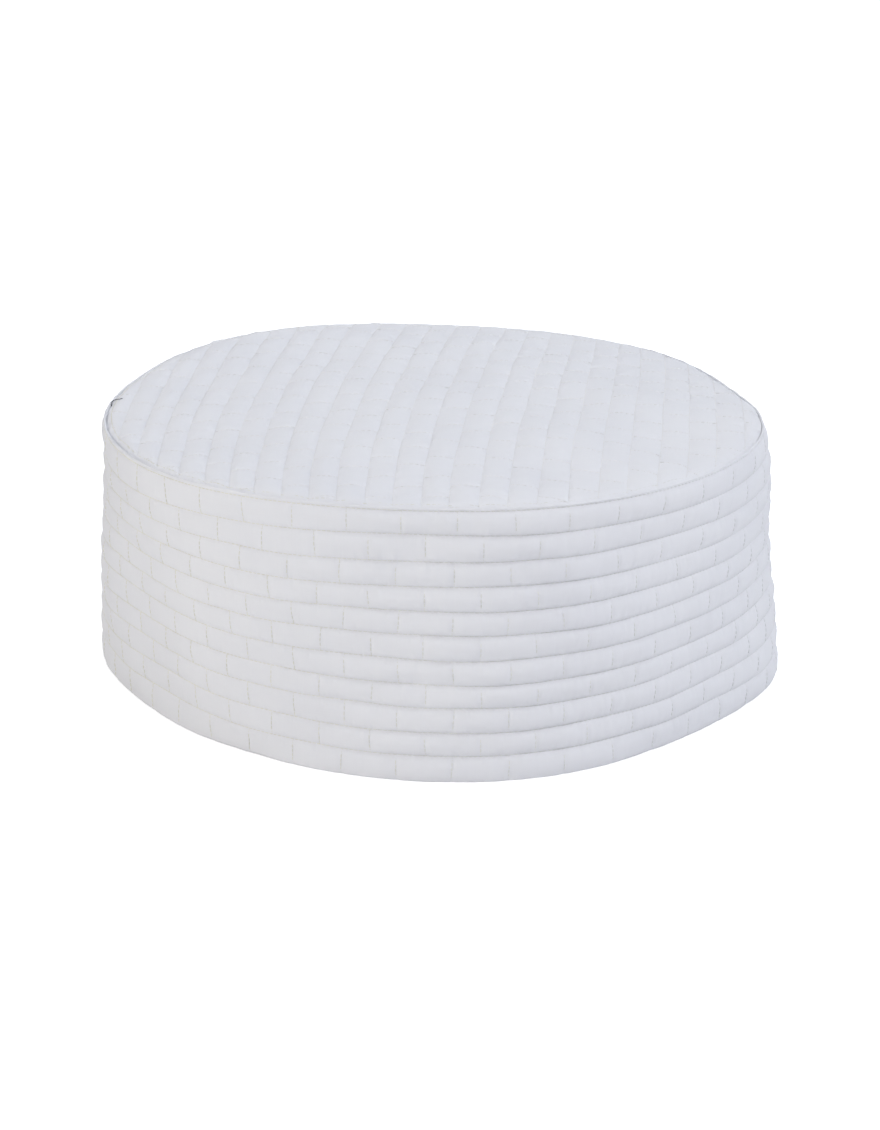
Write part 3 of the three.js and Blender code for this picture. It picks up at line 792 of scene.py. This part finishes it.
def clip_grid(F, x, y, z, uv):
    """The part of a grid where F > 0, with its border cut cleanly along F = 0. Returns points, uv, face arrays and the border loop."""
    n, m = F.shape
    pts = np.stack([x, y, z], -1).reshape(-1, 3)
    uvf = uv.reshape(-1, 2)
    Ff = F.ravel().copy()
    idx = np.arange(n * m).reshape(n, m)
    inside = Ff > 0
    quad = np.stack([idx[:-1, :-1], idx[1:, :-1], idx[1:, 1:], idx[:-1, 1:]], -1).reshape(-1, 4)
    count = inside[quad].sum(1)
    full = quad[count == 4]
    extra_p, extra_uv, key = [], [], {}

    def cut(a, b):
        k = (a, b) if a < b else (b, a)
        if k not in key:
            t = Ff[a] / (Ff[a] - Ff[b])
            t = min(max(t, 0.06), 0.94) if inside[a] else min(max(t, 0.06), 0.94)
            key[k] = n * m + len(extra_p)
            extra_p.append(pts[a] * (1 - t) + pts[b] * t)
            extra_uv.append(uvf[a] * (1 - t) + uvf[b] * t)
        return key[k]

    tri, quads, penta, border = [], [], [], []
    for q in quad[(count > 0) & (count < 4)]:
        poly, on = [], []
        for e in range(4):
            a, b = int(q[e]), int(q[(e + 1) % 4])
            if inside[a]:
                poly.append(a), on.append(False)
            if inside[a] != inside[b]:
                poly.append(cut(a, b)), on.append(True)
        {3: tri, 4: quads, 5: penta}.get(len(poly), []).append(poly)
        for e in range(len(poly)):
            if on[e] and on[(e + 1) % len(poly)]:
                border.append((poly[e], poly[(e + 1) % len(poly)]))
    allp = np.concatenate([pts, np.array(extra_p)])
    alluv = np.concatenate([uvf, np.array(extra_uv)])
    used = np.zeros(len(allp), bool)
    faces = [full, np.array(quads or np.zeros((0, 4), int)), np.array(tri or np.zeros((0, 3), int)), np.array(penta or np.zeros((0, 5), int))]
    for f in faces:
        used[f.ravel()] = True
    new = np.cumsum(used) - 1
    faces = [new[f] for f in faces if len(f)]
    nxt = {int(new[a]): int(new[b]) for a, b in border}
    start = next(iter(nxt))
    loop, cur = [start], nxt[start]
    while cur != start and cur in nxt and len(loop) <= len(nxt):
        loop.append(cur)
        cur = nxt[cur]
    return allp[used], alluv[used], faces, loop, len(nxt)


def crown_grid(ystep, stations, detail, puff, sign, base, inset):
    """A clipped sheet of the crown. sign 1 is the outside, -1 the lining's face."""
    ys = np.arange(-108, 108.01, ystep)
    q = np.concatenate([[i + w for w in stations] for i in range(NL)] + [[float(NL)]])
    q[-1] = NL - 1e-6
    Q, Y = np.meshgrid(q, ys, indexing="ij")
    x3, y3, z, gap = crown_z(Q, Y, detail, puff)
    if sign < 0:
        x3, y3, zz, gap = crown_z(Q, Y, 0.0, 0.0)
        bump = crown_z(Q, Y, detail, puff)[2] - zz
        z = zz + base - np.clip(bump, -0.3, 2)
    uv = np.stack([c_of(Q, Y), Y], -1)
    return clip_grid(gap + CROWN_IN - inset, x3, y3, z, uv)


pts, uv, faces, loop, nb = crown_grid(PITCH / 3, STATIONS, 1.0, C_PUFF, 1, 0.0, CROWN_IN - 0.15)
print("crown loop", len(loop), nb, "points", len(pts))
# close it: a short wall under the border, then a smooth underside
loop = np.array(loop)
cx, cy = pts[loop, 0].mean(), pts[loop, 1].mean()
n0 = len(pts)
co, uvv = [pts], [uv]
prev = loop
closing = []
levels = [(1.0, -0.45), (0.985, -0.55), (0.8, -0.55), (0.55, -0.55), (0.3, -0.55)]
edge_z = pts[loop, 2]
k0 = n0
for sc, dz in levels:
    p = pts[loop].copy()
    p[:, 0], p[:, 1] = cx + (p[:, 0] - cx) * sc, cy + (p[:, 1] - cy) * sc
    if sc < 1:
        _, a, t = edge_gap(p[:, 0], p[:, 1])
        p[:, 2] = H0 + DOME * (1 - t * t) + (seam_z(a) - H0) * t * t + dz - 0.35
    else:
        p[:, 2] += dz
    cur = np.arange(k0, k0 + len(loop))
    closing.append(np.stack([prev, np.roll(prev, -1), np.roll(cur, -1), cur], -1))
    co.append(p), uvv.append(uv[loop])
    prev, k0 = cur, k0 + len(loop)
co.append(np.array([[cx, cy, H0 + DOME - 0.9]])), uvv.append(np.zeros((1, 2)))
fan = np.stack([prev, np.roll(prev, -1), np.full(len(loop), k0)], -1)
crown = make("crown_shell_cloth", np.concatenate(co), faces + [np.concatenate(closing)[:, ::-1], fan[:, ::-1]], np.concatenate(uvv))
crown.data.materials.append(M_OUT)


def crown_stitches(kind, seed, r=0.11, detail_lift=0.07):
    """Stitches along the crown's rows ("rows") or across them ("ticks")."""
    P0, P1 = [], []
    if kind == "rows":
        for k in range(1, NL):
            i = np.arange(-75, 75)
            P0.append(np.c_[np.full(len(i), float(k)), i * PITCH]), P1.append(np.c_[np.full(len(i), float(k)), (i + 1) * PITCH])
    else:
        for i in range(NL):
            ph = (0.18 if i % 2 == 1 else 0.74) * -CB
            for kt in range(-8, 9):
                y0 = ph + kt * CB + C_JIT[i, kt + 20]
                skew = 1.6 * min(max((i - 13) / 8.0, 0), 1) * min(max(-y0 / 60, 0), 1)
                w = np.linspace(0, 1, 6)
                yy = y0 + (C_TILT[i, kt + 20] - 2 * skew) * (w - 0.5)
                qq = i + np.clip(w, 0.0, 0.9999)
                P0.append(np.c_[qq[:-1], yy[:-1]]), P1.append(np.c_[qq[1:], yy[1:]])
    P0, P1 = np.concatenate(P0), np.concatenate(P1)
    a, b = crown_z(P0[:, 0], P0[:, 1]), crown_z(P1[:, 0], P1[:, 1])
    keep = (a[3] > 0.35) & (b[3] > 0.35)
    pa, pb = np.stack(a[:3], -1)[keep], np.stack(b[:3], -1)[keep]
    n = np.tile([0.0, 0.0, 1.0], (len(pa), 1))
    return stitches(pa, pb, n, r=r, lift=detail_lift, dip=0.13, jitter=0.04, seed=seed)


crown_thread = thread_object("crown_needle_thread_stitches", [crown_stitches("rows", 501), crown_stitches("ticks", 502)], M_THREAD_CROWN)
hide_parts("crown_needle_thread")


# the line of stitching through the rim: outside at the seam, inside on the crown
def seam_line_inside(seed):
    n = 412
    a = np.linspace(0, TAU, n, endpoint=False)
    rr = top_r(a)
    dR = (top_r(a + 0.01) - top_r(a - 0.01)) / 0.02
    inset = (CROWN_IN + SEAM_STITCH) * np.hypot(rr, dR) / rr
    x, y = TOPC[0] + SHIFT[0] + (rr - inset) * np.cos(a), TOPC[1] + SHIFT[1] + (rr - inset) * np.sin(a)
    # the crown's own height there, found in the rows' coordinates
    q, yc = rows_of(x, y)
    z = crown_z(q, yc)[2]
    p = np.stack([x, y, z], -1)
    nrm = np.tile([0.0, 0.0, 1.0], (n, 1))
    return stitches(p, np.roll(p, -1, 0), nrm, r=0.11, lift=-0.03, dip=0.15, jitter=0.05, seed=seed)



# ----------------------------------------------------------------- the inside
HALF = STITCHES
S2 = BACK + np.arange(HALF) * (P / HALF)


def band_tube(name, sections, mat, v=None):
    """A closed ring: each section is (height share, out, up), with out and up numbers or one value per column."""
    pts, uvc, d = [], [], 0.0
    for i, (h, u, dz) in enumerate(sections):
        x, y, z, nx, ny = wall.at(S2, h)
        uu = u + overall(S2, z)
        pts.append(np.stack([x + nx * uu, y + ny * uu, z + dz], -1))
        d = i * 1.1 if v is None else v[i]
        uvc.append(np.c_[S2, np.full(HALF, d)])
    ob = make(name, np.concatenate(pts), [torus_faces(len(sections), HALF)], np.concatenate(uvc))
    ob.data.materials.append(mat)
    return ob


in_mid, in_small = field(61, 15, 11, 26), field(62, 4.5, 3.6, 30)


def lining_out(s, q):
    """How far the lining's face stands in towards the head, as a negative number."""
    s, q = np.broadcast_arrays(np.asarray(s, float), np.asarray(q, float))
    j = np.clip(q.astype(int), 0, 10)
    w = q - j
    f = (4 * w * (1 - w)).clip(0) ** 0.8
    t = near_tick(s, j, w)
    g = 1 - 0.35 * np.exp(-((t / 0.8) ** 2))
    low = np.clip((q - 8.6) / 0.8, 0, 1)
    amp = 0.62 * (1 - low) + 0.16 * low
    c = np.cos(TAU * (s - BACK) / PITCH)
    e = np.minimum(w, 1 - w) * 6.7
    return -2.62 - amp * f * g - (0.10 * in_mid(s, q * 6.7) + 0.05 * in_small(s, q * 6.7)) * f * (1 - 0.7 * low) + 0.08 * (0.5 + 0.5 * c) * np.exp(-((e / 0.5) ** 2))


sec = [(h, -2.16, 0.0) for h in (0.985, 0.8, 0.6, 0.4, 0.2, 0.03)]
sec += [(0.012, -2.25, 0.0), (0.010, -2.40, 0.02), (0.014, -2.56, -0.02)]
vv = [-80 + 2 * i for i in range(9)]
for j in range(11):
    for w in (0.0, 0.09, 0.25, 0.5, 0.75, 0.91):
        q = np.full(HALF, j + w)
        h = height_of(S2, q)
        if float(h.mean()) < 0.02 or float(h.mean()) > 0.965:
            continue
        sec.append((h, lining_out(S2, q), 0.0))
        vv.append(-(EDGES[j] * (1 - w) + EDGES[j + 1] * w) * H0)
sec += [(0.982, -2.60, 0.0), (0.987, -2.45, 0.0)]
vv += [-73, -73.4]
lining = band_tube("band_lining_cloth", sec, M_IN, vv)

# the facing: a strip of the same cloth turned under along both edges
f_wave, f_small = field(71, 34, 90, 14), field(72, 5, 90, 20)
fw, fs = f_wave(S2, 0.0), f_small(S2, 0.0)
hz = lambda z: 1 - z / 73.7
sec = []
for z in (1.4, 4.0, 7.0, 9.8):
    sec.append((hz(z), -2.99, 0.0))
sec += [(hz(10.7), -3.02, 0.12 * fw), (hz(10.98), -3.20, 0.14 * fw), (hz(10.95), -3.42, 0.14 * fw), (hz(10.5), -3.56 - 0.03 * fs, 0.13 * fw), (hz(9.4), -3.58 - 0.05 * fs, 0.06 * fw)]
for z, k in ((8.2, 0.10), (7.3, 0.02), (6.93, -0.07), (6.5, 0.02), (5.4, 0.12), (3.6, 0.13), (2.2, 0.08)):
    sec.append((hz(z), -3.47 - k - 0.05 * fs * (k > 0) - 0.03 * fw, 0.0))
sec += [(hz(1.25), -3.50, 0.0), (hz(0.90), -3.40, 0.0), (hz(0.84), -3.22, 0.0), (hz(0.95), -3.05, 0.0)]
facing = band_tube("hem_facing_cloth", sec, M_IN)

# wadding: a soft sheet between the shell and the lining
w_a, w_b, w_c = field(81, 9, 8, 26), field(82, 3.2, 3.0, 30), field(83, 8, 7, 26)
hs = np.linspace(0.014, 0.985, 34)
sec = [(h, -0.90 + 0.06 * w_a(S2, h * 73) + 0.03 * w_b(S2, h * 73), 0.0) for h in hs] + [(0.989, -1.1, 0.0), (0.989, -1.5, 0.0)]
sec += [(h, -1.80 + 0.06 * w_c(S2, h * 73) + 0.03 * w_b(S2, h * 73 + 9), 0.0) for h in hs[::-1]] + [(0.010, -1.6, 0.0), (0.010, -1.1, 0.0)]
wadding = band_tube("band_wadding_sheet", sec[::-1], M_PAD)


def crown_under(q, y, drop, puff, seed_fields, edge_in):
    """A face of the crown's inner layers."""
    c = c_of(q, y)
    x3, y3 = cap_xy(c, y)
    gap, a, t = edge_gap(x3, y3)
    t = np.clip(t, 0, 1.02)
    z = H0 + DOME * (1 - t * t) + (seam_z(a) - H0) * t * t + drop
    z = z + 0.35 * c_big(y, c) * np.clip((gap - CROWN_IN) / 15, 0, 1)
    i = np.clip(q.astype(int), 0, NL - 1)
    w = np.clip(q - i, 0, 1)
    f = (4 * w * (1 - w)).clip(0) ** 0.8
    tk = crown_tick(i, w, y)
    flat = 1 - np.exp(-np.clip(gap - 9.0, 0, None) / 1.5)
    z = z - puff * f * (1 - 0.3 * np.exp(-((tk / 0.8) ** 2))) * flat
    for k, fl in seed_fields:
        z = z + k * fl(y, c) * flat
    return x3, y3, z, gap - edge_in


def crown_layer(name, mat, top, bottom, edge_in, puff_b, fields_t, fields_b, ystep=1.344, stations=(0.0, 0.12, 0.32, 0.6, 0.85)):
    """A closed layer of the crown, from its top face's drop to its bottom face's."""
    ys = np.arange(-106, 106.01, ystep)
    q = np.concatenate([[i + w for w in stations] for i in range(NL)])
    Q, Y = np.meshgrid(q, ys, indexing="ij")
    uvg = np.stack([c_of(Q, Y), Y], -1)
    out, uvo, fs, loops = [], [], [], []
    k = 0
    for drop, puff, fields, flip in ((top, 0.0, fields_t, False), (bottom, puff_b, fields_b, True)):
        x3, y3, z, F = crown_under(Q, Y, drop, puff, fields, edge_in)
        p, uvp, faces, loop, _ = clip_grid(F, x3, y3, z, uvg)
        out.append(p), uvo.append(uvp)
        fs += [(f[:, ::-1] if flip else f) + k for f in faces]
        loops.append(np.array(loop) + k)
        k += len(p)
    a, b = loops
    # both borders come from the same grid, so they have the same points in the same order; a middle ring rounds the edge
    mid = (out[0][a] + out[1][b - len(out[0])]) / 2
    _, ang, _ = edge_gap(mid[:, 0], mid[:, 1])
    mid[:, 0] += 0.16 * np.cos(ang)
    mid[:, 1] += 0.16 * np.sin(ang)
    out.append(mid), uvo.append(uvo[0][a])
    m = np.arange(k, k + len(mid))
    a2, b2, m2 = np.roll(a, -1), np.roll(b, -1), np.roll(m, -1)
    fs += [np.stack([a, m, m2, a2], -1), np.stack([m, b, b2, m2], -1)]
    ob = make(name, np.concatenate(out), fs, np.concatenate(uvo))
    ob.data.materials.append(mat)
    return ob


l_mid, l_small = field(91, 17, 14, 26), field(92, 4.6, 4.0, 30)
crown_lining = crown_layer("crown_lining_cloth", M_IN, -2.44, -2.94, 3.06, 0.50, [], [(0.10, l_mid), (0.04, l_small)])
crown_wadding = crown_layer("crown_wadding_sheet", M_PAD, -1.20, -2.10, 3.06, 0.0, [(0.05, w_b)], [(0.05, w_c)], 2.7, (0.0, 0.5))


def ring_at(inset, dz, n=HALF, seedf=None):
    a = np.linspace(0, TAU, n, endpoint=False)
    rr = top_r(a)
    dR = (top_r(a + 0.01) - top_r(a - 0.01)) / 0.02
    k = inset * np.hypot(rr, dR) / rr
    x, y = TOPC[0] + SHIFT[0] + (rr - k) * np.cos(a), TOPC[1] + SHIFT[1] + (rr - k) * np.sin(a)
    t = (rr - k) / rr
    z = H0 + DOME * (1 - t * t) + (seam_z(a) - H0) * t * t + dz
    return np.stack([x, y, z], -1)


# the binding: a strip folded over the raw edges, sewn flat under the lining
ba = np.linspace(0, TAU, HALF, endpoint=False) * R0
b_wave, b_small = field(95, 26, 90, 14)(ba, 0.0), field(96, 4.4, 90, 20)(ba, 0.0)
UP0 = -3.24
prof = [(3.12, 0.0), (5.0, 0.0), (7.4, 0.0), (8.25, -0.04), (8.58, -0.24), (8.66, -0.52), (8.56, -0.84), (8.2, -1.06), (6.9, -1.13), (5.4, -1.13), (4.3, -1.02), (4.0, -0.96), (3.7, -1.02), (3.14, -1.10),
        (3.13, -0.72), (5.0, -0.70), (7.2, -0.70), (8.05, -0.62), (8.16, -0.52), (8.05, -0.43), (7.2, -0.38), (5.0, -0.36), (3.12, -0.36)]
pts, uvb = [], []
for i, (inset, dz) in enumerate(prof):
    k = np.clip((inset - 4.0) / 4.0, 0, 1)
    low = 1.0 if dz < -0.8 else 0.0
    pts.append(ring_at(inset + 0.16 * b_wave * k, UP0 + dz + 0.05 * b_wave * k - 0.04 * b_small * low))
    uvb.append(np.c_[ba, np.full(HALF, i * 0.9)])
binding = make("crown_seam_binding_strip", np.concatenate(pts), [torus_faces(len(prof), HALF)], np.concatenate(uvb))
binding.data.materials.append(M_TAPE)


def binding_stitches():
    p = ring_at(4.0, UP0 - 0.97, 412)
    return [stitches(p, np.roll(p, -1, 0), np.tile([0.0, 0.0, -1.0], (len(p), 1)), r=0.13, lift=0.10, dip=0.16, jitter=0.05, seed=297)]


# tape over the band's seam at the back: a flat woven strap following the wall
TZ = np.linspace(11.6, 64.7, 90)
tw = np.linspace(-4.5, 4.5, 13)
t_ln, t_fine = field(97, 14, 11, 20), field(98, 3.4, 3.0, 24)


def tape_point(w, z, u):
    """w across the tape, from its middle, and z up the wall."""
    sb = BACK + w
    h = 1 - z / float(seam_z(math.radians(95)))
    x, y, zz, nx, ny = wall.at(sb, h)
    uu = u + overall(sb, zz)
    return np.stack([x + nx * uu, y + ny * uu, zz], -1)


W, Z = np.meshgrid(tw, TZ, indexing="ij")
Wv = W + 0.10 * t_ln(Z * 1.0, 0.0)
puff_t = 0.10 * t_ln(Z, W) + 0.04 * t_fine(Z, W)
rib = 0.03 * np.cos(TAU * Z / 1.1)
lift_t = -3.62 - puff_t * 0.5 - rib * (np.abs(W) < 4) + 0.16 * np.exp(-((np.abs(W) - 3.55) / 0.45) ** 2) + 0.12 * (np.abs(W) > 4.2)
low_t = -3.14 + 0 * W
A, Bq = tape_point(Wv, Z, lift_t), tape_point(Wv * 0.985, Z, low_t)
nw, nz = W.shape
idx = np.arange(nw * nz).reshape(nw, nz)
quads = np.stack([idx[:-1, :-1], idx[:-1, 1:], idx[1:, 1:], idx[1:, :-1]], -1).reshape(-1, 4)
o = nw * nz
rim_idx = np.r_[idx[:, 0], idx[-1, 1:], idx[-2::-1, -1], idx[0, -2:0:-1]]
side = np.stack([rim_idx, np.roll(rim_idx, -1), np.roll(rim_idx, -1) + o, rim_idx + o], -1)
uvt = np.stack([Wv, Z], -1).reshape(-1, 2)
tape = make("back_seam_tape_strip", np.concatenate([A.reshape(-1, 3), Bq.reshape(-1, 3)]), [quads[:, ::-1], quads + o, side], np.concatenate([uvt, uvt]))
tape.data.materials.append(M_TAPE)

# bobbin thread inside: rows and the ticks above each, and two lines down the tape
def bobbin(k):
    u_row = (lambda s, q: lining_out(s, q)) if k < 10 else (lambda s, q: -3.40 + 0 * s)
    i = np.arange(STITCHES)
    s0, s1 = BACK + i * PITCH, BACK + (i + 1) * PITCH
    keep = (np.abs((s0 - BACK + P / 2) % P - P / 2) > 5.5) & (np.abs((s1 - BACK + P / 2) % P - P / 2) > 5.5)
    s0, s1 = s0[keep], s1[keep]

    def pt(s, q, u):
        x, y, z, nx, ny = wall.at(s, height_of(s, q))
        uu = u + overall(s, z)
        return np.stack([x + nx * uu, y + ny * uu, z], -1), np.stack([-nx, -ny, 0 * nx], -1)

    qk = np.full(len(s0), float(k))
    a, n = pt(s0, qk, u_row(s0, qk))
    b, _ = pt(s1, qk, u_row(s1, qk))
    parts = [stitches(a, b, n, r=0.13, lift=0.10, dip=0.14, jitter=0.04, seed=600 + k)]
    tk, tilt = TICKS[k - 1], TILT[k - 1]
    m = np.abs((tk - BACK + P / 2) % P - P / 2) > 6
    tk, tilt = tk[m], tilt[m]
    w = np.linspace(0, 1, 6)
    w0, w1 = np.meshgrid(w[:-1], tk)[0].ravel(), np.meshgrid(w[1:], tk)[0].ravel()
    ts, tt = np.repeat(tk, 5), np.repeat(tilt, 5)
    sa, sb = ts + tt * (w0 - 0.5), ts + tt * (w1 - 0.5)
    qa, qb = k - 1 + np.minimum(w0, 0.9999), k - 1 + np.minimum(w1, 0.9999)
    a, n = pt(sa, qa, lining_out(sa, qa))
    b, _ = pt(sb, qb, lining_out(sb, qb))
    ok = (a[:, 2] < seam_z(np.arctan2(a[:, 1], a[:, 0])) - 4.6)
    parts.append(stitches(a[ok], b[ok], n[ok], r=0.12, lift=0.10, dip=0.14, jitter=0.035, seed=620 + k))
    return parts


for k in range(1, 11):
    ob = thread_object(f"band_bobbin_thread_{k:02d}_stitches", bobbin(k), M_THREAD)
    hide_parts(f"band_bobbin_thread_{k:02d}")
    needle.append(ob)

zs = np.arange(12.6, 63.8, 1.6)
parts = []
for wv in (-3.4, 3.4):
    a = tape_point(np.full(len(zs) - 1, wv), zs[:-1], np.full(len(zs) - 1, -3.52))
    b = tape_point(np.full(len(zs) - 1, wv), zs[1:], np.full(len(zs) - 1, -3.52))
    _, _, _, nx, ny = wall.at(np.full(len(zs) - 1, BACK + wv), 0.5)
    parts.append(stitches(a, b, np.stack([-nx, -ny, 0 * nx], -1), r=0.14, lift=0.12, dip=0.2, jitter=0.05, seed=640))
back_thread = thread_object("back_seam_thread_stitches", parts, M_THREAD)
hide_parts("back_seam_thread")
needle.append(back_thread)


def crown_bobbin():
    P0, P1 = [], []
    for k in range(1, NL):
        i = np.arange(-75, 75)
        P0.append(np.c_[np.full(len(i), float(k)), i * PITCH]), P1.append(np.c_[np.full(len(i), float(k)), (i + 1) * PITCH])
    for i in range(NL):
        ph = (0.18 if i % 2 == 1 else 0.74) * -CB
        for kt in range(-8, 9):
            y0 = ph + kt * CB + C_JIT[i, kt + 20]
            w = np.linspace(0, 1, 6)
            yy = y0 + C_TILT[i, kt + 20] * (w - 0.5)
            qq = i + np.clip(w, 0.0, 0.9999)
            P0.append(np.c_[qq[:-1], yy[:-1]]), P1.append(np.c_[qq[1:], yy[1:]])
    P0, P1 = np.concatenate(P0), np.concatenate(P1)
    fl = [(0.10, l_mid), (0.04, l_small)]
    a, b = crown_under(P0[:, 0], P0[:, 1], -2.94, 0.50, fl, 0), crown_under(P1[:, 0], P1[:, 1], -2.94, 0.50, fl, 0)
    keep = (a[3] > 9.3) & (b[3] > 9.3)
    pa, pb = np.stack(a[:3], -1)[keep], np.stack(b[:3], -1)[keep]
    return stitches(pa, pb, np.tile([0.0, 0.0, -1.0], (len(pa), 1)), r=0.125, lift=0.10, dip=0.14, jitter=0.04, seed=650)


ob = thread_object("crown_bobbin_thread_stitches", [crown_bobbin()], M_THREAD)
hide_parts("crown_bobbin_thread")
needle.append(ob)


def tube(path, r, sides=8):
    """A closed tube along a smooth path through the given points."""
    path = np.asarray(path, float)
    d = np.r_[0, np.cumsum(np.linalg.norm(np.diff(path, axis=0), axis=1))]
    u = np.linspace(0, d[-1], 10 * len(path))
    for _ in range(2):
        p = np.stack([np.interp(u, d, path[:, k]) for k in range(3)], -1)
        for _ in range(6):
            p[1:-1] = (p[:-2] + 2 * p[1:-1] + p[2:]) / 4
        break
    t = np.gradient(p, axis=0)
    t /= np.linalg.norm(t, axis=1, keepdims=True)
    up = np.tile([0.0, 1.0, 0.15], (len(p), 1))
    b = np.cross(t, up)
    b /= np.linalg.norm(b, axis=1, keepdims=True)
    n = np.cross(b, t)
    ang = np.arange(sides) / sides * TAU
    twist = 1 + 0.10 * np.cos(ang[None] * 2 + np.arange(len(p))[:, None] * 0.8)
    rr = r * twist * (1 + 0.05 * np.sin(np.arange(len(p)) * 1.3))[:, None]
    rr[0] *= 0.5
    rr[-1] *= 0.5
    co = p[:, None] + rr[..., None] * (np.cos(ang)[None, :, None] * b[:, None] + np.sin(ang)[None, :, None] * n[:, None])
    m = len(p)
    q = []
    for i in range(m - 1):
        k = np.arange(sides)
        k2 = (k + 1) % sides
        q.append(np.stack([i * sides + k, i * sides + k2, (i + 1) * sides + k2, (i + 1) * sides + k], -1))
    caps = np.array([np.arange(sides), (m - 1) * sides + np.arange(sides)[::-1]])
    return co.reshape(-1, 3), np.concatenate(q)[:, ::-1], caps


# a dark end of thread curling out of the seam on the left
LOOP = [[-87.9, -1.6, 75.91], [-88.59, -1.7, 75.77], [-89.43, -1.8, 75.69], [-90.25, -1.95, 75.45], [-90.8, -2.13, 75.03], [-91.06, -2.34, 74.44], [-90.88, -2.49, 73.91], [-90.48, -2.56, 73.59], [-89.64, -2.5, 73.53]]
loose = thread_object("loose_thread_curl", [tube(LOOP, 0.11)], M_DARK)
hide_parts("loose_thread_end")

seam_thread = thread_object("crown_seam_thread_stitches", [row_stitches(0.0, 299, r=0.15, lift=0.30), seam_line_inside(298)] + binding_stitches(), M_THREAD)
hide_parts("crown_seam_thread")

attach(band, "root")
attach(crown, "root")
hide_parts("band_shell")
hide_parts("crown_shell")
for o in needle + [crown_thread, seam_thread, loose]:
    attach(o, "root")
for o, node, name in ((lining, "band_lining", "lining_cotton"), (crown_lining, "crown_lining", "lining_cotton"), (facing, "hem_facing", "lining_cotton"), (wadding, "band_wadding", "wadding"),
                      (crown_wadding, "crown_wadding", "wadding"), (binding, "crown_seam_binding", "tape"), (tape, "back_seam_tape", "tape")):
    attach(o, "root")
    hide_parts(node)

# ------------------------------------------------------------------ the stage
def plain_floor(name, z, colour, glow):
    ob = make(name, [[-6000, -6000, z], [6000, -6000, z], [6000, 9000, z], [-6000, 9000, z]], [np.array([[0, 1, 2, 3]])])
    mat = bpy.data.materials.new(name)
    _, b = nodes_of(mat)
    b.inputs["Base Color"].default_value = (*colour, 1)
    b.inputs["Roughness"].default_value = 0.9
    b.inputs["Specular IOR Level"].default_value = 0.1
    b.inputs["Emission Color"].default_value = (1, 1, 1, 1)
    b.inputs["Emission Strength"].default_value = glow
    ob.data.materials.append(mat)
    return ob


# the sheet of white paper under the cap, and the same paper as the cap's light sees it
paper = plain_floor("floor", -0.05, (0.80, 0.80, 0.81), 0.62)
paper.visible_diffuse = paper.visible_glossy = paper.visible_shadow = False
bounce = plain_floor("floor_bounce", -0.30, (0.80, 0.80, 0.81), 0.0)
bounce.visible_camera = False

world = bpy.data.worlds.new("soft")
bpy.context.scene.world = world
world.use_nodes = True
wn = world.node_tree
bg = wn.nodes["Background"]
bg.inputs[0].default_value = (0.965, 0.985, 1.06, 1)
wc = wn.nodes.new("ShaderNodeTexCoord")
ws = wn.nodes.new("ShaderNodeSeparateXYZ")
wn.links.new(wc.outputs["Generated"], ws.inputs[0])
wz = math_node(wn, "MAXIMUM", ws.outputs[2], 0.0)
wn.links.new(math_node(wn, "ADD", math_node(wn, "MULTIPLY", wz, 0.33), 0.10), bg.inputs[1])
# soft boxes round the table: azimuth and elevation in degrees, then red, green and blue watts
for i, (az, el, rgb) in enumerate([
    (-100, 20, (1.46, 1.38, 1.57)), (-20, 15, (5.14, 5.03, 4.71)), (-60, 15, (5.67, 5.45, 4.91)), (0, 88, (2.22, 2.26, 2.42)), (100, 20, (6.41, 6.51, 6.71)),
    (120, 50, (0.50, 0.66, 0.82)), (180, 45, (5.85, 6.03, 6.24)), (20, 15, (2.18, 2.23, 2.61)), (60, 45, (4.24, 4.36, 4.70))]):
    a, e = math.radians(az), math.radians(el)
    light = bpy.data.lights.new(f"box_{i}", "AREA")
    light.shape, light.size = "DISK", 0.8
    light.energy = max(rgb)
    light.color = [v / max(rgb) for v in rgb]
    ob = bpy.data.objects.new(f"box_{i}", light)
    bpy.context.collection.objects.link(ob)
    aim = Vector((0, 0, 0.05))
    ob.location = aim + 1.6 * Vector((math.sin(a) * math.cos(e), -math.cos(a) * math.cos(e), math.sin(e)))
    ob.rotation_euler = (aim - ob.location).to_track_quat("-Z", "Y").to_euler()

cam_data = bpy.data.cameras.new("camera")
cam_data.sensor_fit = "AUTO"
cam_data.sensor_width = 36
cam_data.lens = 4123.1 / 1130 * 36
cam_data.clip_start, cam_data.clip_end = 0.05, 50
cam = bpy.data.objects.new("camera", cam_data)
bpy.context.collection.objects.link(cam)
cam.location = (0.097387, -1.103223, 0.376207)
aim = Vector((0.001101, -0.000705, 0.029283))
cam.rotation_euler = (aim - cam.location).to_track_quat("-Z", "Y").to_euler()
bpy.context.scene.camera = cam
bpy.context.scene.view_settings.view_transform = "Standard"
bpy.context.scene.view_settings.look = "None"
